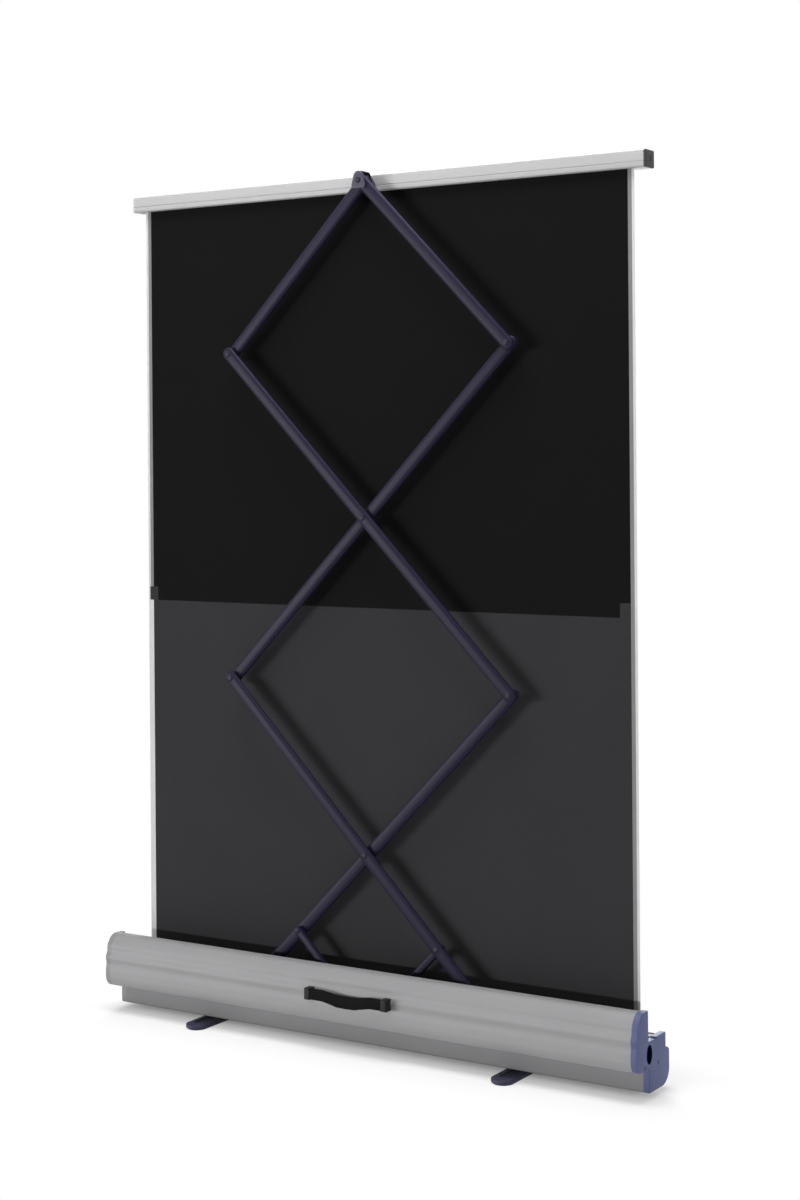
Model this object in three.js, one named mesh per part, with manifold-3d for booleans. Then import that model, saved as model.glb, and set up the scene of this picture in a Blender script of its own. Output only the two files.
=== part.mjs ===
import * as THREE from 'three';
import { mergeVertices } from 'three/addons/utils/BufferGeometryUtils.js';
import Module from 'manifold-3d';

const wasm = await Module();
wasm.setup();

// Cloth and its roll
const CLOTH_MARGIN = 31;
const CLOTH_THICKNESS = 0.36;
const CLOTH_Y = -8;
const EDGE_STRIP_WIDTH = 9;
const LEADER_TOP_Z = 818;
const ROLL_Z = 40;
const TUBE_RADIUS = 11;
const TUBE_WALL = 1.2;
const WRAP_THICKNESS = 0.8;

// Scissor stand, open
const PIVOT_Z = 44;
const HALF_ARM = 442;
const OPEN_ANGLE = THREE.MathUtils.degToRad(45.5);
const ARM_WIDTH = 24;
const ARM_DEPTH = 11;
const ARM_TAIL = 2;
const FLANK_WIDTH = 6;
const FLANK_DEPTH = 3.6;
const LINK_WIDTH = 14;
const LINK_FLANK_WIDTH = 2.5;
const LAYER_GAP = 0.4;
const LAYER_CLEARANCE = 2;

// Pivot rivets
const PIN_RADIUS = 4;
const PIN_RUNNING_GAP = 0.35;
const PIN_HEAD_RADIUS = 6;
const PIN_FLAT_HEAD = 1.2;
const PIN_DOME_HEAD = 2.2;

// Housing extrusion
const HOUSING_LENGTH = 1146;
const HOUSING_WALL = 1.8;
const BELLY_Y = -12;
const BELLY_RADIUS = 28.3;
const FRONT_LEAN = THREE.MathUtils.degToRad(24.7);
const LIP_TOP_Z = 99;
const LIP_FRONT_Y = -12;
const LIP_REAR_Y = -5;
const CHANNEL_FRONT_Y = 10;
const TROUGH_REAR_Y = 40;
const TROUGH_CORNER = 4;
const STEP_Z = 52;
const BOX_FRONT_Y = 52;
const BOX_REAR_Y = 89;
const BOX_TOP_Z = 153;
const BOX_LOW_CURVE_Y = 17;
const BOX_LOW_CURVE_Z = 22;
const BOX_HIGH_CURVE_Y = 29;
const BOX_HIGH_CURVE_Z = 49;
const PORT_RADIUS = 4.2;
const PORT_BITE = 0.6;
const PORT_HIGH_Z = 56;

// End plates
const PLATE_THICKNESS = 12;
const PLATE_EDGE = 2.4;
const PRONG_TOP_Z = 100.5;
const PRONG_REAR_Y = 11;
const NECK_FRONT_Y = -26;
const SHOULDER_Z = 76;
const SHOULDER_DROP = 5;
const SHOULDER_CORNER = 2.3;
const NOTCH_Z = 98;
const NOTCH_REAR_Y = 43;
const RECESS_Y = 40;
const RECESS_Z = 77;
const RECESS_HALF_WIDTH = 11;
const RECESS_HALF_HEIGHT = 17;
const RECESS_DEPTH = 8;
const SCREW_RADIUS = 1.9;
const SCREW_HEAD_RADIUS = 3.4;
const SCREW_HEAD_HEIGHT = 1.6;
const SCREW_LENGTH = 26;
const SCREW_RUNNING_GAP = 0.2;

// Feet
const PAD_THICKNESS = 2;
const SOLE_INSET = 3;
const FOOT_THICKNESS = 7.2;
const FOOT_WIDTH = 44;
const FOOT_LENGTH = 214;
const FOOT_EDGE = 1.5;
const LEFT_FOOT_INSET = 216;
const RIGHT_FOOT_INSET = 250;
const FOOT_GAP = 0.3;
const FOOT_BOLT_RADIUS = 4;
const FOOT_BOLT_HEAD_RADIUS = 9;
const FOOT_BOLT_HEAD = 3;
const FOOT_NUT_RADIUS = 6.5;
const FOOT_NUT_HEIGHT = 4;
const FOOT_BOLT_RECESS = 0.4;

// Carriage rails and centre bracket
const RAIL_INNER_REST = 47.8;
const RAIL_OUTER_REST = 34;
const RAIL_HEIGHT = 10.5;
const RAIL_WALL = 1.5;
const RAIL_FRONT_Y = 11.7;
const RAIL_REAR_Y = 35.3;
const RAIL_LIP = 4;
const CARRIAGE_LENGTH = 30;
const CARRIAGE_GAP = 0.3;
const EAR_RADIUS = 10;
const EAR_THICKNESS = 6.8;
const CHEEK_THICKNESS = 1.6;
const CHEEK_GAP = 0.2;
const BRACKET_HALF_LENGTH = 26;
const BRACKET_RADIUS = 7;

// Top bar
const BAR_DEPTH = 36;
const BAR_HEIGHT = 31;
const BAR_REAR_Y = 2;
const BAR_SETBACK = 1;
const BAR_CAP = 4;
const BAR_WALL = 1.6;
const BAR_CORNER = 3;
const BAR_PIVOT_RISE = 18.5;
const BAR_GROOVE = 0.8;
const BAR_GROOVE_RISE = 10.3;
const SPLINE_RADIUS = 2.6;
const SPLINE_ROOM = 0.6;
const CLOTH_SLOT = 2;
const CAP_FIT = 0.3;
const CAP_PLUG = 10;

// Apex bracket
const APEX_HALF_WIDTH = 15;
const APEX_DROP = 16.5;
const APEX_RISE = 16.5;
const APEX_CORNER = 4;
const APEX_PLATE = 4;
const APEX_CHEEK = 3;
const APEX_ARM_ROOM = 1.5;

// Carrying handle
const HANDLE_Y = 100;
const HANDLE_Z = 106;
const HANDLE_HALF_SPAN = 78;
const HANDLE_SAG = 7.5;
const HANDLE_FLAT = 12;
const HANDLE_HEIGHT = 23;
const HANDLE_END_HEIGHT = 20;
const HANDLE_THICKNESS = 11;
const HANDLE_EDGE = 3;
const HANDLE_END_LENGTH = 20;
const HANDLE_PIN_RADIUS = 3;
const HANDLE_PIN_LENGTH = 7;
const HANDLE_GAP = 0.4;
const LUG_WIDTH = 12;
const LUG_HALF_HEIGHT = 10.5;
const LUG_EDGE = 2;

// Roll fittings
const SHAFT_RADIUS = 4;
const SHAFT_RUNNING_GAP = 0.4;
const SEAT_CLEARANCE = 12;
const PLUG_LENGTH = 18;
const PLUG_FLANGE = 3;
const SEAT_RADIUS = 10;
const SEAT_LENGTH = 12;
const SPRING_RADIUS = 6.4;
const SPRING_WIRE_RADIUS = 0.8;
const SPRING_LENGTH = 200;
const SPRING_TURNS = 16;
const SPRING_HOOK_GAP = 0.15;

// Colours are linear hints only
const metalLight = new THREE.MeshStandardMaterial({ color: 0xc9c9cb, roughness: 0.38, metalness: 0.9 });
const metalSteel = new THREE.MeshStandardMaterial({ color: 0xa4a6aa, roughness: 0.35, metalness: 0.95 });
const violetPaint = new THREE.MeshStandardMaterial({ color: 0x3a3560, roughness: 0.42, metalness: 0.25 });
const violetPlastic = new THREE.MeshStandardMaterial({ color: 0x4a558f, roughness: 0.5, metalness: 0 });
const navyPlastic = new THREE.MeshStandardMaterial({ color: 0x262c54, roughness: 0.5, metalness: 0 });
const blackPlastic = new THREE.MeshStandardMaterial({ color: 0x2a2a2c, roughness: 0.55, metalness: 0 });
const greyPlastic = new THREE.MeshStandardMaterial({ color: 0x9a9a9e, roughness: 0.5, metalness: 0 });
const blackRubber = new THREE.MeshStandardMaterial({ color: 0x1a1a1a, roughness: 0.85, metalness: 0 });
const blackCloth = new THREE.MeshStandardMaterial({ color: 0x161618, roughness: 0.9, metalness: 0 });
const greyCloth = new THREE.MeshStandardMaterial({ color: 0x3c3c3e, roughness: 0.9, metalness: 0 });
const stripCloth = new THREE.MeshStandardMaterial({ color: 0xb4b6b4, roughness: 0.8, metalness: 0 });

const ROUND_SEGMENTS = 24;
const SMALL_SEGMENTS = 16;
const PIVOT_SEGMENTS = 16;
const CURVE_SEGMENTS = 8;
const QUARTER = Math.PI / 2;
const SAME_POINT = 1e-3;

const group = new THREE.Group();
group.name = 'floor_projector_screen';

// Signed volume tells which way the faces look
function signedVolume(geometry) {
  const p = geometry.attributes.position;
  const index = geometry.index.array;
  const a = new THREE.Vector3();
  const b = new THREE.Vector3();
  const c = new THREE.Vector3();
  let sum = 0;
  for (let i = 0; i < index.length; i += 3) {
    a.fromBufferAttribute(p, index[i]);
    b.fromBufferAttribute(p, index[i + 1]);
    c.fromBufferAttribute(p, index[i + 2]);
    sum += a.dot(b.cross(c));
  }
  return sum;
}

// Shared corners, no empty faces, faces out
function closed(source) {
  const bare = new THREE.BufferGeometry();
  bare.setAttribute('position', source.attributes.position.clone());
  if (source.index) bare.setIndex(source.index.clone());
  const merged = mergeVertices(bare, 1e-5);
  const index = merged.index.array;
  const kept = [];
  for (let i = 0; i < index.length; i += 3) {
    const [a, b, c] = [index[i], index[i + 1], index[i + 2]];
    if (a !== b && b !== c && c !== a) kept.push(a, b, c);
  }
  merged.setIndex(kept);
  if (signedVolume(merged) < 0) {
    for (let i = 0; i < kept.length; i += 3) [kept[i + 1], kept[i + 2]] = [kept[i + 2], kept[i + 1]];
    merged.setIndex(kept);
  }
  return merged;
}

function toSolid(source) {
  const g = closed(source);
  return new wasm.Manifold(new wasm.Mesh({
    numProp: 3,
    vertProperties: new Float32Array(g.attributes.position.array),
    triVerts: new Uint32Array(g.index.array),
  }));
}

function fromSolid(solid) {
  const mesh = solid.getMesh();
  const g = new THREE.BufferGeometry();
  const points = new Float32Array(mesh.numVert * 3);
  for (let i = 0; i < mesh.numVert; i += 1) {
    for (let k = 0; k < 3; k += 1) points[i * 3 + k] = mesh.vertProperties[i * mesh.numProp + k];
  }
  g.setAttribute('position', new THREE.BufferAttribute(points, 3));
  g.setIndex([...mesh.triVerts]);
  return g;
}

function cut(base, tools) {
  let solid = toSolid(base);
  for (const tool of tools) solid = solid.subtract(toSolid(tool));
  return fromSolid(solid);
}

function join(parts) {
  let solid = toSolid(parts[0]);
  for (const part of parts.slice(1)) solid = solid.add(toSolid(part));
  return fromSolid(solid);
}

function addPiece(name, geometry, material) {
  const shown = closed(geometry).toNonIndexed();
  shown.computeVertexNormals();
  const mesh = new THREE.Mesh(shown, material);
  mesh.name = name;
  group.add(mesh);
  return geometry;
}

// The same outline without doubled corners
function clean(shape, curveSegments = CURVE_SEGMENTS) {
  const bare = (points) => {
    const kept = [];
    for (const p of points) {
      if (!kept.length || p.distanceTo(kept[kept.length - 1]) > SAME_POINT) kept.push(p);
    }
    while (kept.length > 1 && kept[0].distanceTo(kept[kept.length - 1]) <= SAME_POINT) kept.pop();
    return kept;
  };
  const { shape: line, holes } = shape.extractPoints(curveSegments);
  const result = new THREE.Shape(bare(line));
  for (const hole of holes) result.holes.push(new THREE.Path(bare(hole)));
  return result;
}

// Shape drawn in Y and Z, run along X
function alongX(shape, from, to, curveSegments = CURVE_SEGMENTS) {
  const g = new THREE.ExtrudeGeometry(clean(shape, curveSegments), { depth: to - from, bevelEnabled: false });
  const m = new THREE.Matrix4();
  m.makeBasis(new THREE.Vector3(0, 1, 0), new THREE.Vector3(0, 0, 1), new THREE.Vector3(1, 0, 0));
  g.applyMatrix4(m);
  g.translate(from, 0, 0);
  return g;
}

// Shape drawn in X and Z, run along Y, with edges broken by edge if given
function alongY(shape, from, to, edge = 0, edgeSize = edge, curveSegments = CURVE_SEGMENTS) {
  const g = new THREE.ExtrudeGeometry(clean(shape, curveSegments), {
    depth: to - from - 2 * edge,
    bevelEnabled: edge > 0,
    bevelThickness: edge,
    bevelSize: edgeSize,
    bevelOffset: -edgeSize,
    bevelSegments: 1,
  });
  const m = new THREE.Matrix4();
  m.makeBasis(new THREE.Vector3(1, 0, 0), new THREE.Vector3(0, 0, 1), new THREE.Vector3(0, -1, 0));
  g.applyMatrix4(m);
  g.translate(0, to - edge, 0);
  return g;
}

// Shape drawn in X and Y, run along Z
function alongZ(shape, from, to, edge = 0) {
  const g = new THREE.ExtrudeGeometry(clean(shape), {
    depth: to - from - 2 * edge,
    bevelEnabled: edge > 0,
    bevelThickness: edge,
    bevelSize: edge,
    bevelOffset: -edge,
    bevelSegments: 1,
  });
  g.translate(0, 0, from + edge);
  return g;
}

function box(x0, x1, y0, y1, z0, z1) {
  const g = new THREE.BoxGeometry(x1 - x0, y1 - y0, z1 - z0);
  g.translate((x0 + x1) / 2, (y0 + y1) / 2, (z0 + z1) / 2);
  return g;
}

function rodY(radius, x, z, from, to, segments = ROUND_SEGMENTS) {
  const g = new THREE.CylinderGeometry(radius, radius, to - from, segments);
  g.translate(x, (from + to) / 2, z);
  return g;
}

function rodX(radius, y, z, from, to, segments = ROUND_SEGMENTS) {
  const g = new THREE.CylinderGeometry(radius, radius, to - from, segments);
  g.rotateZ(-QUARTER);
  g.translate((from + to) / 2, y, z);
  return g;
}

function rodZ(radius, x, y, from, to, segments = ROUND_SEGMENTS) {
  const g = new THREE.CylinderGeometry(radius, radius, to - from, segments);
  g.rotateX(QUARTER);
  g.translate(x, y, (from + to) / 2);
  return g;
}

// Round bar turned from a profile of radius and height, standing along Y
function turned(profile, segments) {
  return closed(new THREE.LatheGeometry(profile.map(([r, y]) => new THREE.Vector2(r, y)), segments));
}

const DOME_SHARES = [0.8, 0];
const DOME_RISE_SHARES = [0.65, 1];

function domePoints(radius, base, height) {
  return DOME_SHARES.map((share, i) => [radius * share, base + height * DOME_RISE_SHARES[i]]);
}

// Pivot rivet with a flat front head and a domed rear head
function pivotRivet(x, z, front, rear) {
  const profile = [
    [0, front - PIN_FLAT_HEAD],
    [PIN_HEAD_RADIUS, front - PIN_FLAT_HEAD],
    [PIN_HEAD_RADIUS, front],
    [PIN_RADIUS, front],
    [PIN_RADIUS, rear],
    [PIN_HEAD_RADIUS, rear],
    ...domePoints(PIN_HEAD_RADIUS, rear, PIN_DOME_HEAD),
  ];
  const g = turned(profile, PIVOT_SEGMENTS);
  g.translate(x, 0, z);
  return g;
}

// Screw with a pan head; the head lies past the seat, the shank before it
function panScrew(radius, headRadius, headHeight, length, segments) {
  return turned([
    [0, -length],
    [radius, -length],
    [radius, 0],
    [headRadius, 0],
    ...domePoints(headRadius, 0, headHeight),
  ], segments);
}

// Heights that everything else hangs on
const footBottom = PAD_THICKNESS;
const footTop = footBottom + FOOT_THICKNESS;
const housingBottom = footTop + FOOT_GAP;
const floorTop = housingBottom + HOUSING_WALL;
const halfHousing = HOUSING_LENGTH / 2;
const footX = (side) => (side > 0 ? halfHousing - LEFT_FOOT_INSET : RIGHT_FOOT_INSET - halfHousing);
const clothHalf = halfHousing - CLOTH_MARGIN;
const tubeHalf = halfHousing - SEAT_LENGTH - SEAT_CLEARANCE - PLUG_FLANGE;
const partitionFront = CHANNEL_FRONT_Y - HOUSING_WALL;
const troughInner = TROUGH_REAR_Y - HOUSING_WALL;
const stepTop = STEP_Z + HOUSING_WALL;
const bellyZ = housingBottom + BELLY_RADIUS;
const wrapRadius = TUBE_RADIUS + WRAP_THICKNESS;
const rollY = CLOTH_Y - CLOTH_THICKNESS / 2 - wrapRadius;

// Pivots of the open stand
const rise = HALF_ARM * Math.sin(OPEN_ANGLE);
const reach = HALF_ARM * Math.cos(OPEN_ANGLE);
const base = { x: 0, z: PIVOT_Z };
const footLeft = { x: reach, z: PIVOT_Z };
const footRight = { x: -reach, z: PIVOT_Z };
const midLeft = { x: reach / 2, z: PIVOT_Z + rise / 2 };
const midRight = { x: -reach / 2, z: PIVOT_Z + rise / 2 };
const crossLow = { x: 0, z: PIVOT_Z + rise };
const elbowLowLeft = { x: reach, z: PIVOT_Z + 2 * rise };
const elbowLowRight = { x: -reach, z: PIVOT_Z + 2 * rise };
const crossHigh = { x: 0, z: PIVOT_Z + 3 * rise };
const elbowHighLeft = { x: reach, z: PIVOT_Z + 4 * rise };
const elbowHighRight = { x: -reach, z: PIVOT_Z + 4 * rise };
const apex = { x: 0, z: PIVOT_Z + 5 * rise };

const frontLayer = CHANNEL_FRONT_Y + LAYER_CLEARANCE;
const frontLayerEnd = frontLayer + ARM_DEPTH;
const rearLayer = frontLayerEnd + LAYER_GAP;
const rearLayerEnd = rearLayer + ARM_DEPTH;

// Outer line of the housing, from the front lip down, round the belly and up the rear box
function frontLine(path, radius, lean, topZ, startY) {
  const tangentY = BELLY_Y - radius * Math.cos(lean);
  const tangentZ = bellyZ + radius * Math.sin(lean);
  const topY = tangentY + (topZ - tangentZ) * Math.tan(lean);
  path.moveTo(startY, topZ);
  path.lineTo(topY, topZ);
  path.lineTo(tangentY, tangentZ);
  path.absarc(BELLY_Y, bellyZ, radius, Math.PI - lean, Math.PI + QUARTER, false);
}

function rearLine(path, inset) {
  const low = BOX_REAR_Y - BOX_LOW_CURVE_Y;
  const high = BOX_REAR_Y - BOX_HIGH_CURVE_Y;
  const lowZ = STEP_Z + BOX_LOW_CURVE_Z;
  const highZ = BOX_TOP_Z - BOX_HIGH_CURVE_Z;
  path.lineTo(low, STEP_Z + inset);
  path.absellipse(low, lowZ, BOX_LOW_CURVE_Y - inset, BOX_LOW_CURVE_Z - inset, -QUARTER, 0, false);
  path.absellipse(high, highZ, BOX_HIGH_CURVE_Y - inset, BOX_HIGH_CURVE_Z - inset, 0, QUARTER, false);
}

function trough(path) {
  const cornerY = TROUGH_REAR_Y - TROUGH_CORNER;
  const cornerZ = housingBottom + TROUGH_CORNER;
  path.lineTo(cornerY, housingBottom);
  path.absarc(cornerY, cornerZ, TROUGH_CORNER, -QUARTER, 0, false);
  path.lineTo(TROUGH_REAR_Y, STEP_Z);
}

function housingSection() {
  const s = new THREE.Shape();
  frontLine(s, BELLY_RADIUS, FRONT_LEAN, LIP_TOP_Z, LIP_FRONT_Y);
  trough(s);
  rearLine(s, 0);
  s.lineTo(BOX_FRONT_Y, BOX_TOP_Z);
  s.lineTo(BOX_FRONT_Y, stepTop);
  s.lineTo(troughInner, stepTop);
  s.lineTo(troughInner, floorTop);
  s.lineTo(CHANNEL_FRONT_Y, floorTop);
  s.lineTo(CHANNEL_FRONT_Y, LIP_TOP_Z);
  s.lineTo(LIP_REAR_Y, LIP_TOP_Z);
  s.lineTo(LIP_REAR_Y, LIP_TOP_Z - HOUSING_WALL);
  s.lineTo(partitionFront, LIP_TOP_Z - HOUSING_WALL);
  s.lineTo(partitionFront, floorTop);
  s.lineTo(BELLY_Y, floorTop);
  const inner = BELLY_RADIUS - HOUSING_WALL;
  const tangentY = BELLY_Y - inner * Math.cos(FRONT_LEAN);
  const tangentZ = bellyZ + inner * Math.sin(FRONT_LEAN);
  const under = LIP_TOP_Z - HOUSING_WALL;
  s.absarc(BELLY_Y, bellyZ, inner, Math.PI + QUARTER, Math.PI - FRONT_LEAN, true);
  s.lineTo(tangentY + (under - tangentZ) * Math.tan(FRONT_LEAN), under);
  s.lineTo(LIP_FRONT_Y, under);
  s.closePath();
  return s;
}

// Hollow of the rear box
function boxHollow() {
  const s = new THREE.Shape();
  s.moveTo(BOX_FRONT_Y + HOUSING_WALL, stepTop);
  rearLine(s, HOUSING_WALL);
  s.lineTo(BOX_FRONT_Y + HOUSING_WALL, BOX_TOP_Z - HOUSING_WALL);
  s.closePath();
  return s;
}

// Screw ports stand in the corners where walls meet
const ports = [
  { tag: 'front', y: partitionFront + PORT_BITE - PORT_RADIUS, z: PORT_HIGH_Z },
  {
    tag: 'rear',
    y: BOX_FRONT_Y + HOUSING_WALL - PORT_BITE + PORT_RADIUS,
    z: stepTop - PORT_BITE + PORT_RADIUS,
  },
];

const sides = [1, -1];
const lugX = HANDLE_HALF_SPAN + HANDLE_GAP + LUG_WIDTH / 2;

function housingShell() {
  const length = [-halfHousing, halfHousing];
  const past = halfHousing + HOUSING_WALL;
  const walls = cut(alongX(housingSection(), ...length), [alongX(boxHollow(), -past, past)]);
  const body = join([
    walls,
    ...ports.map((p) => rodX(PORT_RADIUS, p.y, p.z, ...length, SMALL_SEGMENTS)),
  ]);
  const below = housingBottom - HOUSING_WALL;
  const above = floorTop + HOUSING_WALL;
  return cut(body, [
    ...ports.map((p) => rodX(SCREW_RADIUS, p.y, p.z, -past, past, SMALL_SEGMENTS)),
    ...sides.map((s) => rodZ(FOOT_BOLT_RADIUS, footX(s), 0, below, above)),
  ]);
}

addPiece('housing_shell', housingShell(), metalLight);

// Front of an end plate: upright neck, sloped shoulder, round belly
function plateFront(path) {
  const belly = BELLY_Y - BELLY_RADIUS;
  path.moveTo(PRONG_REAR_Y, PRONG_TOP_Z);
  path.lineTo(NECK_FRONT_Y, PRONG_TOP_Z);
  path.lineTo(NECK_FRONT_Y, SHOULDER_Z);
  path.lineTo(belly + SHOULDER_CORNER, SHOULDER_Z - SHOULDER_DROP);
  path.lineTo(belly, SHOULDER_Z - 2 * SHOULDER_DROP);
  path.absarc(BELLY_Y, bellyZ, BELLY_RADIUS, Math.PI, Math.PI + QUARTER, false);
}

// End plate with a stepped top, screw recesses and a moulded grip hollow
function plateOutline() {
  const s = new THREE.Shape();
  plateFront(s);
  trough(s);
  rearLine(s, 0);
  s.lineTo(NOTCH_REAR_Y, BOX_TOP_Z);
  s.lineTo(NOTCH_REAR_Y, NOTCH_Z);
  s.lineTo(PRONG_REAR_Y, NOTCH_Z);
  s.closePath();
  return s;
}

function endPlate(side) {
  const g = new THREE.ExtrudeGeometry(clean(plateOutline()), {
    depth: PLATE_THICKNESS,
    bevelEnabled: true,
    bevelThickness: PLATE_EDGE,
    bevelSize: PLATE_EDGE,
    bevelOffset: -PLATE_EDGE,
    bevelSegments: 2,
  });
  const m = new THREE.Matrix4();
  m.makeBasis(new THREE.Vector3(0, 1, 0), new THREE.Vector3(0, 0, 1), new THREE.Vector3(1, 0, 0));
  g.applyMatrix4(m);
  const inner = side > 0 ? halfHousing : -halfHousing;
  g.translate(side > 0 ? halfHousing - PLATE_EDGE : -halfHousing - PLATE_THICKNESS + PLATE_EDGE, 0, 0);
  const outer = side * (halfHousing + PLATE_THICKNESS);
  const span = (a, b) => [Math.min(a, b), Math.max(a, b)];
  const well = new THREE.Shape();
  well.absellipse(RECESS_Y, RECESS_Z, RECESS_HALF_WIDTH, RECESS_HALF_HEIGHT, 0, 2 * Math.PI, false);
  const past = outer + side * PLATE_EDGE;
  return cut(g, [
    box(...span(inner - side * 2 * PLATE_EDGE, inner), -2 * BOX_REAR_Y, 2 * BOX_REAR_Y, 0, 2 * BOX_TOP_Z),
    alongX(well, ...span(outer - side * RECESS_DEPTH, past)),
    ...ports.flatMap((p) => [
      rodX(SCREW_RADIUS + SCREW_RUNNING_GAP, p.y, p.z, ...span(inner - side * PLATE_EDGE, past), SMALL_SEGMENTS),
      rodX(SCREW_HEAD_RADIUS + SCREW_RUNNING_GAP, p.y, p.z,
        ...span(outer - side * SCREW_HEAD_HEIGHT, past), SMALL_SEGMENTS),
    ]),
  ]);
}

addPiece('end_plate_left', endPlate(1), greyPlastic);
addPiece('end_plate_right', endPlate(-1), violetPlastic);

for (const [side, hand] of [[1, 'left'], [-1, 'right']]) {
  for (const p of ports) {
    const g = panScrew(SCREW_RADIUS, SCREW_HEAD_RADIUS, SCREW_HEAD_HEIGHT, SCREW_LENGTH, SMALL_SEGMENTS);
    g.rotateZ(-side * QUARTER);
    g.translate(side * (halfHousing + PLATE_THICKNESS - SCREW_HEAD_HEIGHT), p.y, p.z);
    addPiece(`end_screw_${hand}_${p.tag}`, g, metalSteel);
  }
}

// Feet swing under the housing on one bolt each
function footOutline(side, inset) {
  const x = footX(side);
  const r = FOOT_WIDTH / 2 - inset;
  const y = FOOT_LENGTH / 2 - FOOT_WIDTH / 2;
  const s = new THREE.Shape();
  s.moveTo(x + r, -y);
  s.lineTo(x + r, y);
  s.absarc(x, y, r, 0, Math.PI, false);
  s.lineTo(x - r, -y);
  s.absarc(x, -y, r, Math.PI, 2 * Math.PI, false);
  return s;
}

function footPlate(side) {
  const x = footX(side);
  const headTop = footBottom + FOOT_BOLT_HEAD;
  return cut(alongZ(footOutline(side, 0), footBottom, footTop, FOOT_EDGE), [
    rodZ(FOOT_BOLT_RADIUS + PIN_RUNNING_GAP, x, 0, footBottom - FOOT_EDGE, footTop + FOOT_EDGE),
    rodZ(FOOT_BOLT_HEAD_RADIUS + PIN_RUNNING_GAP, x, 0, footBottom - FOOT_EDGE, headTop),
  ]);
}

// Rubber sole glued under a foot, open under the bolt
function footSole(side) {
  const opening = FOOT_BOLT_HEAD_RADIUS + 2 * PIN_RUNNING_GAP;
  return cut(alongZ(footOutline(side, SOLE_INSET), 0, PAD_THICKNESS), [
    rodZ(opening, footX(side), 0, -PAD_THICKNESS, 2 * PAD_THICKNESS),
  ]);
}

// Bolt and nut of a foot, with the washer that carries the housing
function footBolt(side) {
  const headBottom = footBottom + FOOT_BOLT_RECESS;
  const headTop = footBottom + FOOT_BOLT_HEAD;
  const g = turned([
    [0, headBottom],
    [FOOT_BOLT_HEAD_RADIUS, headBottom],
    [FOOT_BOLT_HEAD_RADIUS, headTop],
    [FOOT_BOLT_RADIUS, headTop],
    [FOOT_BOLT_RADIUS, floorTop],
    [FOOT_NUT_RADIUS, floorTop],
    [FOOT_NUT_RADIUS, floorTop + FOOT_NUT_HEIGHT],
    [0, floorTop + FOOT_NUT_HEIGHT],
  ], ROUND_SEGMENTS);
  g.rotateX(QUARTER);
  g.translate(footX(side), 0, 0);
  return g;
}

for (const [side, tag] of [[1, 'left'], [-1, 'right']]) {
  addPiece(`foot_${tag}`, footPlate(side), navyPlastic);
  addPiece(`foot_sole_${tag}`, footSole(side), blackRubber);
  addPiece(`foot_bolt_${tag}`, footBolt(side), metalSteel);
}

// Rails hold the arm carriages down on the trough floor
const railFloor = floorTop + RAIL_WALL;
const railTop = floorTop + RAIL_HEIGHT;
const railStart = reach - RAIL_INNER_REST;
const railEnd = HALF_ARM + RAIL_OUTER_REST;

function rail(side) {
  const s = new THREE.Shape();
  s.moveTo(RAIL_FRONT_Y, floorTop);
  s.lineTo(RAIL_REAR_Y, floorTop);
  s.lineTo(RAIL_REAR_Y, railTop);
  s.lineTo(RAIL_REAR_Y - RAIL_LIP, railTop);
  s.lineTo(RAIL_REAR_Y - RAIL_LIP, railTop - RAIL_WALL);
  s.lineTo(RAIL_REAR_Y - RAIL_WALL, railTop - RAIL_WALL);
  s.lineTo(RAIL_REAR_Y - RAIL_WALL, railFloor);
  s.lineTo(RAIL_FRONT_Y + RAIL_WALL, railFloor);
  s.lineTo(RAIL_FRONT_Y + RAIL_WALL, railTop - RAIL_WALL);
  s.lineTo(RAIL_FRONT_Y + RAIL_LIP, railTop - RAIL_WALL);
  s.lineTo(RAIL_FRONT_Y + RAIL_LIP, railTop);
  s.lineTo(RAIL_FRONT_Y, railTop);
  s.closePath();
  return side > 0 ? alongX(s, railStart, railEnd) : alongX(s, -railEnd, -railStart);
}

addPiece('rail_left', rail(1), metalSteel);
addPiece('rail_right', rail(-1), metalSteel);

// Centre bracket: floor plate with two cheeks for the link pivot
const frontCheek = CHANNEL_FRONT_Y + CHEEK_GAP;
const rearCheek = rearLayerEnd + CHEEK_THICKNESS - CHEEK_GAP;

function cheek(from, to) {
  const s = new THREE.Shape();
  s.moveTo(-BRACKET_RADIUS - RAIL_WALL, floorTop);
  s.lineTo(BRACKET_RADIUS + RAIL_WALL, floorTop);
  s.lineTo(BRACKET_RADIUS, base.z);
  s.absarc(base.x, base.z, BRACKET_RADIUS, 0, Math.PI, false);
  s.closePath();
  return alongY(s, from, to);
}

function centreBracket() {
  const plate = box(-BRACKET_HALF_LENGTH, BRACKET_HALF_LENGTH, frontCheek, rearCheek + CHEEK_THICKNESS,
    floorTop, railFloor);
  const body = join([
    plate,
    cheek(frontCheek, frontCheek + CHEEK_THICKNESS),
    cheek(rearCheek, rearCheek + CHEEK_THICKNESS),
  ]);
  return cut(body, [
    rodY(PIN_RADIUS, base.x, base.z, frontCheek - CHEEK_THICKNESS, rearCheek + 2 * CHEEK_THICKNESS, PIVOT_SEGMENTS),
  ]);
}

addPiece('centre_bracket', centreBracket(), metalSteel);
addPiece('centre_pin',
  rodY(PIN_RADIUS, base.x, base.z, frontCheek, rearCheek + CHEEK_THICKNESS, PIVOT_SEGMENTS), metalSteel);

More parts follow.
